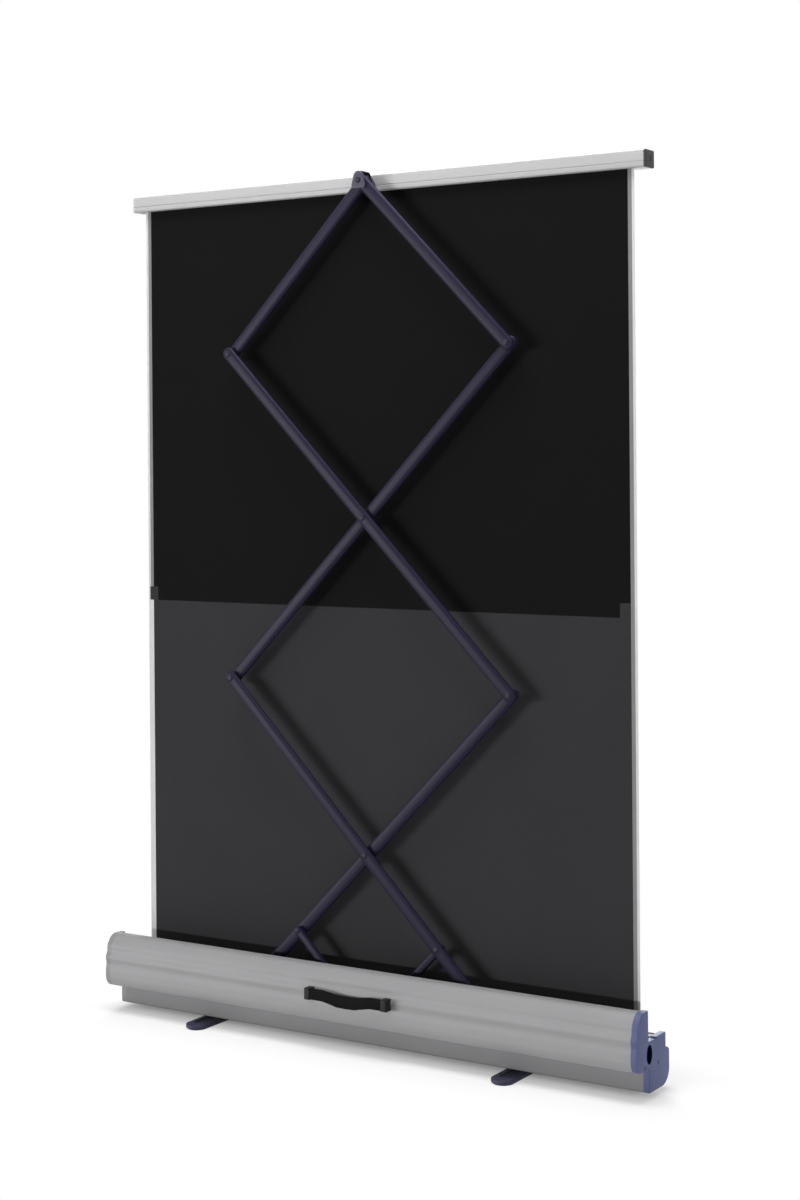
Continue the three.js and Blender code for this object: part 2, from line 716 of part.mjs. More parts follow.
// Strut between two pivots: flat-topped ridge, round ends, holes for its rivets
function strut(from, to, width, flank, flankDepth, tails, front, holes) {
  const length = Math.hypot(to.x - from.x, to.z - from.z);
  const r = width / 2;
  const s = new THREE.Shape();
  s.moveTo(-tails[0], -r);
  s.lineTo(length + tails[1], -r);
  s.absarc(length + tails[1], 0, r, -QUARTER, QUARTER, false);
  s.lineTo(-tails[0], r);
  s.absarc(-tails[0], 0, r, QUARTER, 3 * QUARTER, false);
  const g = alongY(s, front, front + ARM_DEPTH, flankDepth, flank);
  g.rotateY(-Math.atan2(to.z - from.z, to.x - from.x));
  g.translate(from.x, 0, from.z);
  const past = ARM_DEPTH;
  return cut(g, holes.map(([p, radius]) => (
    rodY(radius, p.x, p.z, front - past, front + ARM_DEPTH + past, PIVOT_SEGMENTS))));
}

const held = PIN_RADIUS;
const running = PIN_RADIUS + PIN_RUNNING_GAP;

function arm(from, to, tails, front, holes) {
  return strut(from, to, ARM_WIDTH, FLANK_WIDTH, FLANK_DEPTH, tails, front, holes);
}

function link(from, to, front, holes) {
  return strut(from, to, LINK_WIDTH, LINK_FLANK_WIDTH, FLANK_DEPTH, [0, 0], front, holes);
}

addPiece('arm_a', arm(footLeft, elbowLowRight, [0, ARM_TAIL], frontLayer,
  [[footLeft, held], [midLeft, held], [crossLow, held], [elbowLowRight, running]]), violetPaint);
addPiece('arm_b', arm(footRight, elbowLowLeft, [0, ARM_TAIL], rearLayer,
  [[footRight, held], [midRight, held], [crossLow, running], [elbowLowLeft, running]]), violetPaint);
addPiece('arm_c', arm(elbowLowRight, elbowHighLeft, [ARM_TAIL, ARM_TAIL], rearLayer,
  [[elbowLowRight, held], [crossHigh, held], [elbowHighLeft, held]]), violetPaint);
addPiece('arm_d', arm(elbowLowLeft, elbowHighRight, [ARM_TAIL, ARM_TAIL], frontLayer,
  [[elbowLowLeft, held], [crossHigh, running], [elbowHighRight, held]]), violetPaint);
addPiece('arm_e', arm(elbowHighLeft, apex, [ARM_TAIL, 0], frontLayer,
  [[elbowHighLeft, running], [apex, running]]), violetPaint);
addPiece('arm_f', arm(elbowHighRight, apex, [ARM_TAIL, 0], rearLayer,
  [[elbowHighRight, running], [apex, running]]), violetPaint);
addPiece('link_left', link(base, midLeft, rearLayer, [[base, running], [midLeft, running]]), violetPaint);
addPiece('link_right', link(base, midRight, frontLayer, [[base, running], [midRight, running]]), violetPaint);

// Carriages slide in the rails and carry the arm feet on an ear
const earRear = [rearLayer, rearLayer + EAR_THICKNESS];
const earFront = [rearLayer - LAYER_GAP - EAR_THICKNESS, rearLayer - LAYER_GAP];

function carriage(pivot, ear) {
  const gap = CARRIAGE_GAP;
  const front = RAIL_FRONT_Y + RAIL_WALL + gap;
  const rear = RAIL_REAR_Y - RAIL_WALL - gap;
  const half = CARRIAGE_LENGTH / 2;
  const slab = box(pivot.x - half, pivot.x + half, front, rear, railFloor, railTop - RAIL_WALL - gap);
  const s = new THREE.Shape();
  const sink = RAIL_WALL;
  s.moveTo(pivot.x - EAR_RADIUS, railTop - RAIL_WALL - gap - sink);
  s.lineTo(pivot.x + EAR_RADIUS, railTop - RAIL_WALL - gap - sink);
  s.lineTo(pivot.x + EAR_RADIUS, pivot.z);
  s.absarc(pivot.x, pivot.z, EAR_RADIUS, 0, Math.PI, false);
  s.closePath();
  return cut(join([slab, alongY(s, ...ear)]), [
    rodY(running, pivot.x, pivot.z, ear[0] - sink, ear[1] + sink, PIVOT_SEGMENTS),
  ]);
}

addPiece('carriage_left', carriage(footLeft, earRear), blackPlastic);
addPiece('carriage_right', carriage(footRight, earFront), blackPlastic);

const pivots = {
  rivet_carriage_left: [footLeft, frontLayer, earRear[1]],
  rivet_carriage_right: [footRight, earFront[0], rearLayerEnd],
  rivet_link_left: [midLeft, frontLayer, rearLayerEnd],
  rivet_link_right: [midRight, frontLayer, rearLayerEnd],
  rivet_cross_low: [crossLow, frontLayer, rearLayerEnd],
  rivet_cross_high: [crossHigh, frontLayer, rearLayerEnd],
  rivet_elbow_low_left: [elbowLowLeft, frontLayer, rearLayerEnd],
  rivet_elbow_low_right: [elbowLowRight, frontLayer, rearLayerEnd],
  rivet_elbow_high_left: [elbowHighLeft, frontLayer, rearLayerEnd],
  rivet_elbow_high_right: [elbowHighRight, frontLayer, rearLayerEnd],
};
for (const [name, [p, front, rear]] of Object.entries(pivots)) {
  addPiece(name, pivotRivet(p.x, p.z, front, rear), metalSteel);
}

// Top bar: hollow extrusion with a keyed slot for the cloth's edge rod
const barBottom = apex.z - BAR_PIVOT_RISE;
const barTop = barBottom + BAR_HEIGHT;
const barFront = BAR_REAR_Y - BAR_DEPTH;
const chamberHalf = SPLINE_RADIUS + SPLINE_ROOM;
const chamberFloor = barBottom + BAR_WALL;
const chamberTop = chamberFloor + 2 * chamberHalf;

function roundedBarPath(path) {
  const c = BAR_CORNER;
  path.moveTo(CLOTH_Y + CLOTH_SLOT / 2, barBottom);
  path.lineTo(BAR_REAR_Y - c, barBottom);
  path.absarc(BAR_REAR_Y - c, barBottom + c, c, -QUARTER, 0, false);
  path.lineTo(BAR_REAR_Y, barBottom + BAR_GROOVE_RISE - BAR_GROOVE);
  path.lineTo(BAR_REAR_Y - BAR_GROOVE, barBottom + BAR_GROOVE_RISE);
  path.lineTo(BAR_REAR_Y, barBottom + BAR_GROOVE_RISE + BAR_GROOVE);
  path.lineTo(BAR_REAR_Y, barTop - c);
  path.absarc(BAR_REAR_Y - c, barTop - c, c, 0, QUARTER, false);
  path.lineTo(barFront + c, barTop);
  path.absarc(barFront + c, barTop - c, c, QUARTER, 2 * QUARTER, false);
  path.lineTo(barFront, barBottom + c);
  path.absarc(barFront + c, barBottom + c, c, 2 * QUARTER, 3 * QUARTER, false);
}

function rectHole(y0, y1, z0, z1) {
  const hole = new THREE.Path();
  hole.moveTo(y0, z0);
  hole.lineTo(y1, z0);
  hole.lineTo(y1, z1);
  hole.lineTo(y0, z1);
  hole.closePath();
  return hole;
}

const hollowRear = CLOTH_Y - chamberHalf - BAR_WALL;
const hollowFront = barFront + BAR_WALL + BAR_GROOVE;
const hollowLow = barBottom + BAR_WALL + BAR_GROOVE;
const hollowHigh = barTop - BAR_WALL - BAR_GROOVE;

function barSection() {
  const s = new THREE.Shape();
  roundedBarPath(s);
  s.lineTo(CLOTH_Y - CLOTH_SLOT / 2, barBottom);
  s.lineTo(CLOTH_Y - CLOTH_SLOT / 2, chamberFloor);
  s.lineTo(CLOTH_Y - chamberHalf, chamberFloor);
  s.lineTo(CLOTH_Y - chamberHalf, chamberTop);
  s.lineTo(CLOTH_Y + chamberHalf, chamberTop);
  s.lineTo(CLOTH_Y + chamberHalf, chamberFloor);
  s.lineTo(CLOTH_Y + CLOTH_SLOT / 2, chamberFloor);
  s.closePath();
  s.holes.push(rectHole(hollowFront, hollowRear, hollowLow, hollowHigh));
  s.holes.push(rectHole(CLOTH_Y - chamberHalf, BAR_REAR_Y - BAR_WALL - BAR_GROOVE,
    chamberTop + BAR_WALL, hollowHigh));
  return s;
}

const barHalf = halfHousing - BAR_SETBACK - BAR_CAP;

addPiece('top_bar', alongX(barSection(), -barHalf, barHalf), metalLight);

function barCap(side) {
  const s = new THREE.Shape();
  roundedBarPath(s);
  s.closePath();
  const span = (a, b) => (side > 0 ? [a, b] : [-b, -a]);
  const plug = rectHole(hollowFront + CAP_FIT, hollowRear - CAP_FIT, hollowLow + CAP_FIT, hollowHigh - CAP_FIT);
  return join([
    alongX(s, ...span(barHalf, barHalf + BAR_CAP)),
    alongX(new THREE.Shape(plug.getPoints()), ...span(barHalf - CAP_PLUG, barHalf + BAR_CAP / 2)),
  ]);
}

addPiece('top_bar_cap_left', barCap(1), greyPlastic);
addPiece('top_bar_cap_right', barCap(-1), blackPlastic);

// Apex bracket: rounded saddle over both top arms
function apexBracket() {
  const c = APEX_CORNER;
  const w = APEX_HALF_WIDTH;
  const low = apex.z - APEX_DROP;
  const s = new THREE.Shape();
  s.moveTo(-w + c, low);
  s.lineTo(w - c, low);
  s.absarc(w - c, low + c, c, -QUARTER, 0, false);
  s.absarc(0, apex.z + APEX_RISE - w, w, 0, Math.PI, false);
  s.absarc(-w + c, low + c, c, Math.PI, Math.PI + QUARTER, false);
  const plateRear = BAR_REAR_Y + APEX_PLATE;
  const cheekFront = rearLayerEnd + APEX_ARM_ROOM;
  const under = apex.z + ARM_WIDTH / 2 + APEX_ARM_ROOM;
  return cut(alongY(s, BAR_REAR_Y, cheekFront + APEX_CHEEK), [
    box(-2 * w, 2 * w, plateRear, cheekFront, low - c, under),
    rodY(PIN_RADIUS, 0, apex.z, plateRear - APEX_PLATE / 2, cheekFront + 2 * APEX_CHEEK, PIVOT_SEGMENTS),
  ]);
}

addPiece('apex_bracket', apexBracket(), violetPlastic);

const apexCheekRear = rearLayerEnd + APEX_ARM_ROOM + APEX_CHEEK;
const apexPin = turned([
  [0, BAR_REAR_Y + APEX_PLATE / 2],
  [PIN_RADIUS, BAR_REAR_Y + APEX_PLATE / 2],
  [PIN_RADIUS, apexCheekRear],
  [PIN_HEAD_RADIUS, apexCheekRear],
  ...domePoints(PIN_HEAD_RADIUS, apexCheekRear, PIN_DOME_HEAD),
], PIVOT_SEGMENTS);
apexPin.translate(0, 0, apex.z);
addPiece('apex_pin', apexPin, metalSteel);

// Cloth: black picture panel, grey leader and the woven edge strips
const clothFront = CLOTH_Y - CLOTH_THICKNESS / 2;
const clothRear = CLOTH_Y + CLOTH_THICKNESS / 2;
const clothInner = clothHalf - EDGE_STRIP_WIDTH;

addPiece('cloth_panel', box(-clothInner, clothInner, clothFront, clothRear, LEADER_TOP_Z, chamberFloor), blackCloth);
addPiece('cloth_leader', box(-clothInner, clothInner, clothFront, clothRear, ROLL_Z, LEADER_TOP_Z), greyCloth);
addPiece('cloth_edge_left',
  box(clothInner, clothInner + EDGE_STRIP_WIDTH, clothFront, clothRear, ROLL_Z, chamberFloor), stripCloth);
addPiece('cloth_edge_right',
  box(-clothInner - EDGE_STRIP_WIDTH, -clothInner, clothFront, clothRear, ROLL_Z, chamberFloor), stripCloth);
addPiece('cloth_edge_rod', rodX(SPLINE_RADIUS, CLOTH_Y, chamberFloor + SPLINE_RADIUS, -barHalf, barHalf,
  ROUND_SEGMENTS), greyPlastic);

// Spring roller in the front chamber
const tubeInner = TUBE_RADIUS - TUBE_WALL;

function pipe(outer, inner, from, to, segments = ROUND_SEGMENTS) {
  const past = TUBE_WALL;
  return cut(rodX(outer, rollY, ROLL_Z, from, to, segments), [
    rodX(inner, rollY, ROLL_Z, from - past, to + past, segments),
  ]);
}

addPiece('roller_tube', pipe(TUBE_RADIUS, tubeInner, -tubeHalf, tubeHalf), metalLight);
addPiece('leader_wrap', pipe(wrapRadius, TUBE_RADIUS, -clothHalf, clothHalf), greyCloth);

const bearing = SHAFT_RADIUS + SHAFT_RUNNING_GAP;

for (const [side, tag] of [[1, 'left'], [-1, 'right']]) {
  const span = (a, b) => (side > 0 ? [a, b] : [-b, -a]);
  const plug = join([
    rodX(tubeInner, rollY, ROLL_Z, ...span(tubeHalf - PLUG_LENGTH, tubeHalf + PLUG_FLANGE / 2)),
    rodX(TUBE_RADIUS, rollY, ROLL_Z, ...span(tubeHalf, tubeHalf + PLUG_FLANGE)),
  ]);
  addPiece(`roller_plug_${tag}`, cut(plug, [
    rodX(bearing, rollY, ROLL_Z, ...span(tubeHalf - 2 * PLUG_LENGTH, tubeHalf + 2 * PLUG_FLANGE)),
  ]), blackPlastic);
  addPiece(`roller_seat_${tag}`,
    pipe(SEAT_RADIUS, SHAFT_RADIUS, ...span(halfHousing - SEAT_LENGTH, halfHousing)), blackPlastic);
}

addPiece('roller_shaft', rodX(SHAFT_RADIUS, rollY, ROLL_Z, -halfHousing, halfHousing), metalSteel);

// Torsion spring hooked on the shaft at its inner end
class SpringPath extends THREE.Curve {
  getPoint(t, target = new THREE.Vector3()) {
    const turn = t * SPRING_TURNS * 2 * Math.PI;
    const hook = Math.min(1, t * SPRING_TURNS);
    const start = SHAFT_RADIUS + SPRING_WIRE_RADIUS + SPRING_HOOK_GAP;
    const radius = start + (SPRING_RADIUS - start) * hook;
    const x = tubeHalf - PLUG_LENGTH - 2 * SPRING_WIRE_RADIUS - SPRING_LENGTH * (1 - t);
    return target.set(x, rollY + radius * Math.cos(turn), ROLL_Z + radius * Math.sin(turn));
  }
}

const WIRE_SEGMENTS = 3;
const STEPS_PER_TURN = 10;
const wire = new THREE.Shape();
wire.absarc(0, 0, SPRING_WIRE_RADIUS, 0, 2 * Math.PI, false);
addPiece('roller_spring', new THREE.ExtrudeGeometry(clean(wire, WIRE_SEGMENTS), {
  steps: SPRING_TURNS * STEPS_PER_TURN,
  bevelEnabled: false,
  extrudePath: new SpringPath(),
}), metalSteel);

// Carrying handle between two lugs on the rear of the housing
function handleGrip() {
  const half = HANDLE_HALF_SPAN;
  const endHalf = HANDLE_END_HEIGHT / 2;
  const midHalf = HANDLE_HEIGHT / 2;
  const inner = half - HANDLE_END_LENGTH;
  const bend = HANDLE_FLAT;
  const ease = (inner - bend) / 2;
  const midZ = HANDLE_Z - HANDLE_SAG;
  const s = new THREE.Shape();
  s.moveTo(-half, HANDLE_Z - endHalf);
  s.lineTo(-inner, HANDLE_Z - endHalf);
  s.bezierCurveTo(-inner + ease, HANDLE_Z - endHalf, -bend - ease, midZ - midHalf, -bend, midZ - midHalf);
  s.lineTo(bend, midZ - midHalf);
  s.bezierCurveTo(bend + ease, midZ - midHalf, inner - ease, HANDLE_Z - endHalf, inner, HANDLE_Z - endHalf);
  s.lineTo(half, HANDLE_Z - endHalf);
  s.lineTo(half, HANDLE_Z + endHalf);
  s.lineTo(inner, HANDLE_Z + endHalf);
  s.bezierCurveTo(inner - ease, HANDLE_Z + endHalf, bend + ease, midZ + midHalf, bend, midZ + midHalf);
  s.lineTo(-bend, midZ + midHalf);
  s.bezierCurveTo(-bend - ease, midZ + midHalf, -inner + ease, HANDLE_Z + endHalf, -inner, HANDLE_Z + endHalf);
  s.lineTo(-half, HANDLE_Z + endHalf);
  s.closePath();
  const band = alongY(s, HANDLE_Y - HANDLE_THICKNESS / 2, HANDLE_Y + HANDLE_THICKNESS / 2, HANDLE_EDGE);
  const reachOut = half + HANDLE_PIN_LENGTH;
  return join([
    band,
    rodX(HANDLE_PIN_RADIUS, HANDLE_Y, HANDLE_Z, -reachOut, -half + HANDLE_END_LENGTH / 2, SMALL_SEGMENTS),
    rodX(HANDLE_PIN_RADIUS, HANDLE_Y, HANDLE_Z, half - HANDLE_END_LENGTH / 2, reachOut, SMALL_SEGMENTS),
  ]);
}

addPiece('handle_grip', handleGrip(), blackPlastic);

const lugRear = HANDLE_Y + HANDLE_THICKNESS / 2 + HANDLE_GAP;

function handleLug(side) {
  const x = side * lugX;
  const half = LUG_WIDTH / 2;
  const h = LUG_HALF_HEIGHT;
  const s = new THREE.Shape();
  s.moveTo(x - half, HANDLE_Z - h);
  s.lineTo(x + half, HANDLE_Z - h);
  s.lineTo(x + half, HANDLE_Z + h);
  s.lineTo(x - half, HANDLE_Z + h);
  s.closePath();
  const block = cut(alongY(s, BOX_REAR_Y - LUG_EDGE, lugRear, LUG_EDGE), [
    box(x - LUG_WIDTH, x + LUG_WIDTH, BOX_REAR_Y - 2 * LUG_EDGE, BOX_REAR_Y, HANDLE_Z - 2 * h, HANDLE_Z + 2 * h),
  ]);
  const innerX = side * HANDLE_HALF_SPAN;
  const blind = side * (HANDLE_HALF_SPAN + HANDLE_PIN_LENGTH + HANDLE_GAP);
  return cut(block, [
    rodX(HANDLE_PIN_RADIUS + PIN_RUNNING_GAP, HANDLE_Y, HANDLE_Z, Math.min(innerX, blind), Math.max(innerX, blind),
      SMALL_SEGMENTS),
  ]);
}

addPiece('handle_lug_left', handleLug(1), blackPlastic);
addPiece('handle_lug_right', handleLug(-1), blackPlastic);

export default group;
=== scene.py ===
import math
import bmesh
import bpy
from mathutils import Vector, Matrix


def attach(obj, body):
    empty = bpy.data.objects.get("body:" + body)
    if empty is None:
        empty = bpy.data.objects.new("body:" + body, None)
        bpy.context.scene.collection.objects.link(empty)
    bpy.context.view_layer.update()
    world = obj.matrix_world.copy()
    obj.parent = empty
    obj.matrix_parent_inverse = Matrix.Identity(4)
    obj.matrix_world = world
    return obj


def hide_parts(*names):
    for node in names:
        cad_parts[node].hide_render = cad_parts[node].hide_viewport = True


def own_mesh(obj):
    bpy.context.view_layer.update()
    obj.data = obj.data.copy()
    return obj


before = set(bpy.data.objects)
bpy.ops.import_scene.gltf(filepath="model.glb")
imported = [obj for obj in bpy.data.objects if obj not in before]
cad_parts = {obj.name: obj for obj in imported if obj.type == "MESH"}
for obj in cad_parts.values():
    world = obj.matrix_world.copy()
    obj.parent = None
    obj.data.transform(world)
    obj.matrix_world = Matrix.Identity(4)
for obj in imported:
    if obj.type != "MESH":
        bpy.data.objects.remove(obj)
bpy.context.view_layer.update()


# Housing: one long aluminium extrusion, clear anodised, with the roll chamber
# in front, the open channel of the scissor stand behind it and a hollow rear box.
# Two broad shallow flutes run along the rear face. Sizes are in millimetres.
MM = 0.001
SHELL_HALF = 573.0
WALL = 1.8
FLOOR_Z = 9.5
CHAMBER_TOP = 99.0
CHAMBER_LIP = -5.0
CHAMBER_REAR = 10.0
CHAMBER_LEAN = 24.7
BELLY_RADIUS = 28.3
BELLY = (-12.0, FLOOR_Z + BELLY_RADIUS)
INNER_KNEE = -13.85
TROUGH_REAR = 40.0
TROUGH_CORNER = 4.0
TRAY_TOP = 53.0
BOX_FRONT = 52.0
BOX_BOTTOM = 52.0
BOX_TOP = 153.0
HEEL = (72.0, 74.0)
HEEL_RADII = (17.0, 22.0)
ROOF = (60.0, 104.0)
ROOF_RADII = (29.0, 49.0)
FLUTES = ((85.0, 1.9), (109.5, 2.6))
FLUTE_WIDTH = 24.5
EXTRUSION_CREASE = 24.0


def build(name, points, faces, crease):
    """Mesh from points in millimetres, smooth but for edges over the crease angle."""
    mesh = bpy.data.meshes.new(name)
    mesh.from_pydata([tuple(c * MM for c in p) for p in points], [], faces)
    mesh.validate()
    mesh.update()
    sharp = math.cos(math.radians(crease))
    normals = {}
    for face in mesh.polygons:
        face.use_smooth = True
        for key in face.edge_keys:
            normals.setdefault(key, []).append(face.normal.copy())
    for edge in mesh.edges:
        pair = normals.get(edge.key, [])
        edge.use_edge_sharp = len(pair) != 2 or pair[0].dot(pair[1]) < sharp
    piece = bpy.data.objects.new(name, mesh)
    bpy.context.scene.collection.objects.link(piece)
    # every face of the closed piece is turned to look out
    solid = bmesh.new()
    solid.from_mesh(mesh)
    bmesh.ops.recalc_face_normals(solid, faces=solid.faces)
    solid.to_mesh(mesh)
    solid.free()
    return piece


def arc(cy, cz, ry, rz, start, end, steps):
    """Points of a round stretch between two angles in degrees."""
    turn = [math.radians(start + (end - start) * i / steps) for i in range(steps + 1)]
    return [(cy + ry * math.cos(a), cz + rz * math.sin(a)) for a in turn]


def signed_area(outline):
    following = outline[1:] + outline[:1]
    return sum(a[0] * b[1] - b[0] * a[1] for a, b in zip(outline, following)) / 2


def inset(outline, distance):
    """The outline moved inwards, corner by corner."""
    side = 1.0 if signed_area(outline) > 0 else -1.0
    sharpest = 0.35
    moved = []
    for before, here, after in zip(outline[-1:] + outline[:-1], outline, outline[1:] + outline[:1]):
        corner = Vector(here)
        first = (corner - Vector(before)).normalized()
        second = (Vector(after) - corner).normalized()
        n1 = Vector((-first.y, first.x)) * side
        n2 = Vector((-second.y, second.x)) * side
        share = max(1.0 + n1.dot(n2), sharpest)
        moved.append(tuple(corner + (n1 + n2) * (distance / share)))
    return moved


def rounded_levels(low, high, low_edge, high_edge, steps):
    """Rows of (inset, height) from the low face to the high one, rounded at both rims."""
    quarter = [math.pi / 2 * k / steps for k in range(steps + 1)]
    levels = [(low_edge[0] * (1 - math.sin(a)), low + low_edge[1] * (1 - math.cos(a))) for a in quarter]
    levels += [(high_edge[0] * (1 - math.sin(a)), high - high_edge[1] * (1 - math.cos(a)))
               for a in quarter[::-1]]
    rows = []
    for level in levels:
        if not rows or max(abs(level[0] - rows[-1][0]), abs(level[1] - rows[-1][1])) >= 1e-6:
            rows.append(level)
    return rows


def slab(name, outline, low, high, place, low_edge=(0, 0), high_edge=(0, 0), steps=3, pockets=(),
         crease=32.0):
    """Plate over an outline, its two rims rounded by (in, down), with pockets sunk in the high face."""
    if signed_area(outline) < 0:
        outline = outline[::-1]
    rows = rounded_levels(low, high, low_edge, high_edge, steps)
    count = len(outline)
    points = []
    faces = []
    for depth, height in rows:
        ring = inset(outline, depth) if depth > 1e-6 else outline
        points += [place(u, v, height) for u, v in ring]
    for r in range(len(rows) - 1):
        for i in range(count):
            j = (i + 1) % count
            a, b = r * count, (r + 1) * count
            faces.append((a + i, a + j, b + j, b + i))
    faces.append(tuple(range(count - 1, -1, -1)))
    top = (len(rows) - 1) * count
    if not pockets:
        faces.append(tuple(range(top, top + count)))
        return build(name, points, faces, crease)
    rim = inset(outline, rows[-1][0]) if rows[-1][0] > 1e-6 else outline
    loops = [(rim, range(top, top + count))]
    for shape, depth in pockets:
        start = len(points)
        n = len(shape)
        points += [place(u, v, high) for u, v in shape]
        points += [place(u, v, high - depth) for u, v in shape]
        loops.append((shape, range(start, start + n)))
        for i in range(n):
            j = (i + 1) % n
            faces.append((start + i, start + n + i, start + n + j, start + j))
        faces.append(tuple(range(start + 2 * n - 1, start + n - 1, -1)))
    return build(name, points, faces + fill_between(loops), crease)


def fill_between(loops):
    """Faces between an outer loop and the loops inside it, by the labels of their points."""
    plan = bmesh.new()
    spots = {}
    for loop, labels in loops:
        corners = [plan.verts.new((u, v, 0)) for u, v in loop]
        spots.update(zip(corners, labels))
        for here, following in zip(corners, corners[1:] + corners[:1]):
            plan.edges.new((here, following))
    bmesh.ops.triangle_fill(plan, use_beauty=True, edges=plan.edges[:], normal=(0, 0, 1))
    faces = [tuple(spots[corner] for corner in face.verts) for face in plan.faces]
    plan.free()
    return faces


def surface(name, colour, roughness, metallic=0.0, grain=(400, 400, 400), tone=0.08, bump=0.05,
            spread=0.08, specular=0.5):
    """Finish whose colour, gloss and relief follow a noise stretched by grain."""
    noise_low, noise_high = 0.3, 0.7
    material = bpy.data.materials.new(name)
    material.use_nodes = True
    nodes = material.node_tree.nodes
    links = material.node_tree.links
    shader = nodes["Principled BSDF"]
    shader.inputs["Metallic"].default_value = metallic
    shader.inputs["Specular IOR Level"].default_value = specular
    place = nodes.new("ShaderNodeTexCoord")
    scale = nodes.new("ShaderNodeMapping")
    scale.inputs["Scale"].default_value = grain
    links.new(place.outputs["Object"], scale.inputs["Vector"])
    noise = nodes.new("ShaderNodeTexNoise")
    noise.inputs["Scale"].default_value = 1.0
    noise.inputs["Detail"].default_value = 4.0
    noise.inputs["Roughness"].default_value = 0.6
    links.new(scale.outputs["Vector"], noise.inputs["Vector"])
    broad = nodes.new("ShaderNodeTexNoise")
    broad.inputs["Scale"].default_value = 7.0
    broad.inputs["Detail"].default_value = 3.0
    links.new(place.outputs["Object"], broad.inputs["Vector"])
    both = nodes.new("ShaderNodeMath")
    both.operation = "MULTIPLY_ADD"
    both.inputs[1].default_value = 0.5
    links.new(noise.outputs["Fac"], both.inputs[0])
    half = nodes.new("ShaderNodeMath")
    half.operation = "MULTIPLY"
    half.inputs[1].default_value = 0.5
    links.new(broad.outputs["Fac"], half.inputs[0])
    links.new(half.outputs[0], both.inputs[2])
    ramp = nodes.new("ShaderNodeValToRGB")
    dark, light = ramp.color_ramp.elements
    dark.position, light.position = noise_low, noise_high
    dark.color = tuple(c * (1 - tone) for c in colour) + (1,)
    light.color = tuple(c * (1 + tone) for c in colour) + (1,)
    links.new(both.outputs[0], ramp.inputs["Fac"])
    links.new(ramp.outputs["Color"], shader.inputs["Base Color"])
    gloss = nodes.new("ShaderNodeMapRange")
    gloss.inputs["From Min"].default_value = noise_low
    gloss.inputs["From Max"].default_value = noise_high
    gloss.inputs["To Min"].default_value = roughness - spread
    gloss.inputs["To Max"].default_value = roughness + spread
    links.new(noise.outputs["Fac"], gloss.inputs["Value"])
    links.new(gloss.outputs["Result"], shader.inputs["Roughness"])
    relief = nodes.new("ShaderNodeBump")
    relief.inputs["Strength"].default_value = bump
    relief.inputs["Distance"].default_value = 0.0004
    links.new(noise.outputs["Fac"], relief.inputs["Height"])
    links.new(relief.outputs["Normal"], shader.inputs["Normal"])
    return material


def dress(piece, material):
    piece.data.materials.clear()
    piece.data.materials.append(material)


def fit(piece, finish, body, node=None):
    """Gives a piece its finish and body, and hides the CAD node it stands for, if it has one."""
    dress(piece, finish)
    if node:
        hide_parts(node)
    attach(piece, body)


def roof_y(z):
    return ROOF[0] + ROOF_RADII[0] * math.sqrt(1 - ((z - ROOF[1]) / ROOF_RADII[1]) ** 2)


def rear_side():
    """Rear of the hollow box: round heel, face with two flutes, round roof."""
    line = [(TROUGH_REAR, BOX_BOTTOM)] + arc(*HEEL, *HEEL_RADII, -90, 0, 12)
    steps = 16
    for low, depth in FLUTES:
        for i in range(steps):
            z = low + FLUTE_WIDTH * i / steps
            sunk = depth * (1 - math.cos(2 * math.pi * i / steps)) / 2
            line.append((roof_y(max(z, ROOF[1])) - sunk, z))
    flutes_top = FLUTES[-1][0] + FLUTE_WIDTH
    return line + [p for p in arc(*ROOF, *ROOF_RADII, 0, 90, 20) if p[1] >= flutes_top]


trough_corner = arc(TROUGH_REAR - TROUGH_CORNER, FLOOR_Z + TROUGH_CORNER, TROUGH_CORNER, TROUGH_CORNER,
                    -90, 0, 5)
lean = math.radians(CHAMBER_LEAN)
chin = (BELLY[0] - BELLY_RADIUS * math.cos(lean), BELLY[1] + BELLY_RADIUS * math.sin(lean))
outer_knee = chin[0] + (CHAMBER_TOP - chin[1]) * math.tan(lean)
inner_radius = BELLY_RADIUS - WALL
inner_top = CHAMBER_TOP - WALL
housing_outline = (
    [(BELLY[0], CHAMBER_TOP), (outer_knee, CHAMBER_TOP)]
    + arc(*BELLY, BELLY_RADIUS, BELLY_RADIUS, 180 - CHAMBER_LEAN, 270, 16)
    + trough_corner
    + rear_side()
    + [(BOX_FRONT, BOX_TOP), (BOX_FRONT, BOX_BOTTOM + WALL), (TROUGH_REAR - WALL, BOX_BOTTOM + WALL)]
    + [(TROUGH_REAR - WALL, FLOOR_Z + WALL), (CHAMBER_REAR, FLOOR_Z + WALL), (CHAMBER_REAR, CHAMBER_TOP)]
    + [(CHAMBER_LIP, CHAMBER_TOP), (CHAMBER_LIP, inner_top), (CHAMBER_REAR - WALL, inner_top)]
    + [(CHAMBER_REAR - WALL, FLOOR_Z + WALL)]
    + arc(*BELLY, inner_radius, inner_radius, 270, 180 - CHAMBER_LEAN, 12)
    + [(INNER_KNEE, inner_top), (BELLY[0], inner_top)]
)
DRAWN_GRAIN = (1.2, 420, 420)
anodised = surface("clear_anodised", (0.25, 0.25, 0.255), 0.62, metallic=0.1, grain=DRAWN_GRAIN,
                   tone=0.035, bump=0.12, spread=0.07, specular=0.3)
# The lower tray takes the same anodising made darker: painted shade, for the shade under the overhanging
# rear box.
tray_painted_shade = surface("trough_painted_shade", (0.185, 0.185, 0.19), 0.62, metallic=0.1, grain=DRAWN_GRAIN,
                     tone=0.04, bump=0.12, spread=0.07, specular=0.3)
housing = slab("housing_extrusion", housing_outline, -SHELL_HALF, SHELL_HALF, lambda u, v, w: (w, u, v),
               crease=EXTRUSION_CREASE)
fit(housing, anodised, "housing", "housing_shell")
# Faces of the lower tray, under the rear box, get the darker painted-shade finish.
housing.data.materials.append(tray_painted_shade)
for face in housing.data.polygons:
    spot = face.center / MM
    is_end = abs(face.normal.x) > 0.9
    if spot.y > CHAMBER_LIP and spot.z < TRAY_TOP and not is_end:
        face.material_index = 1


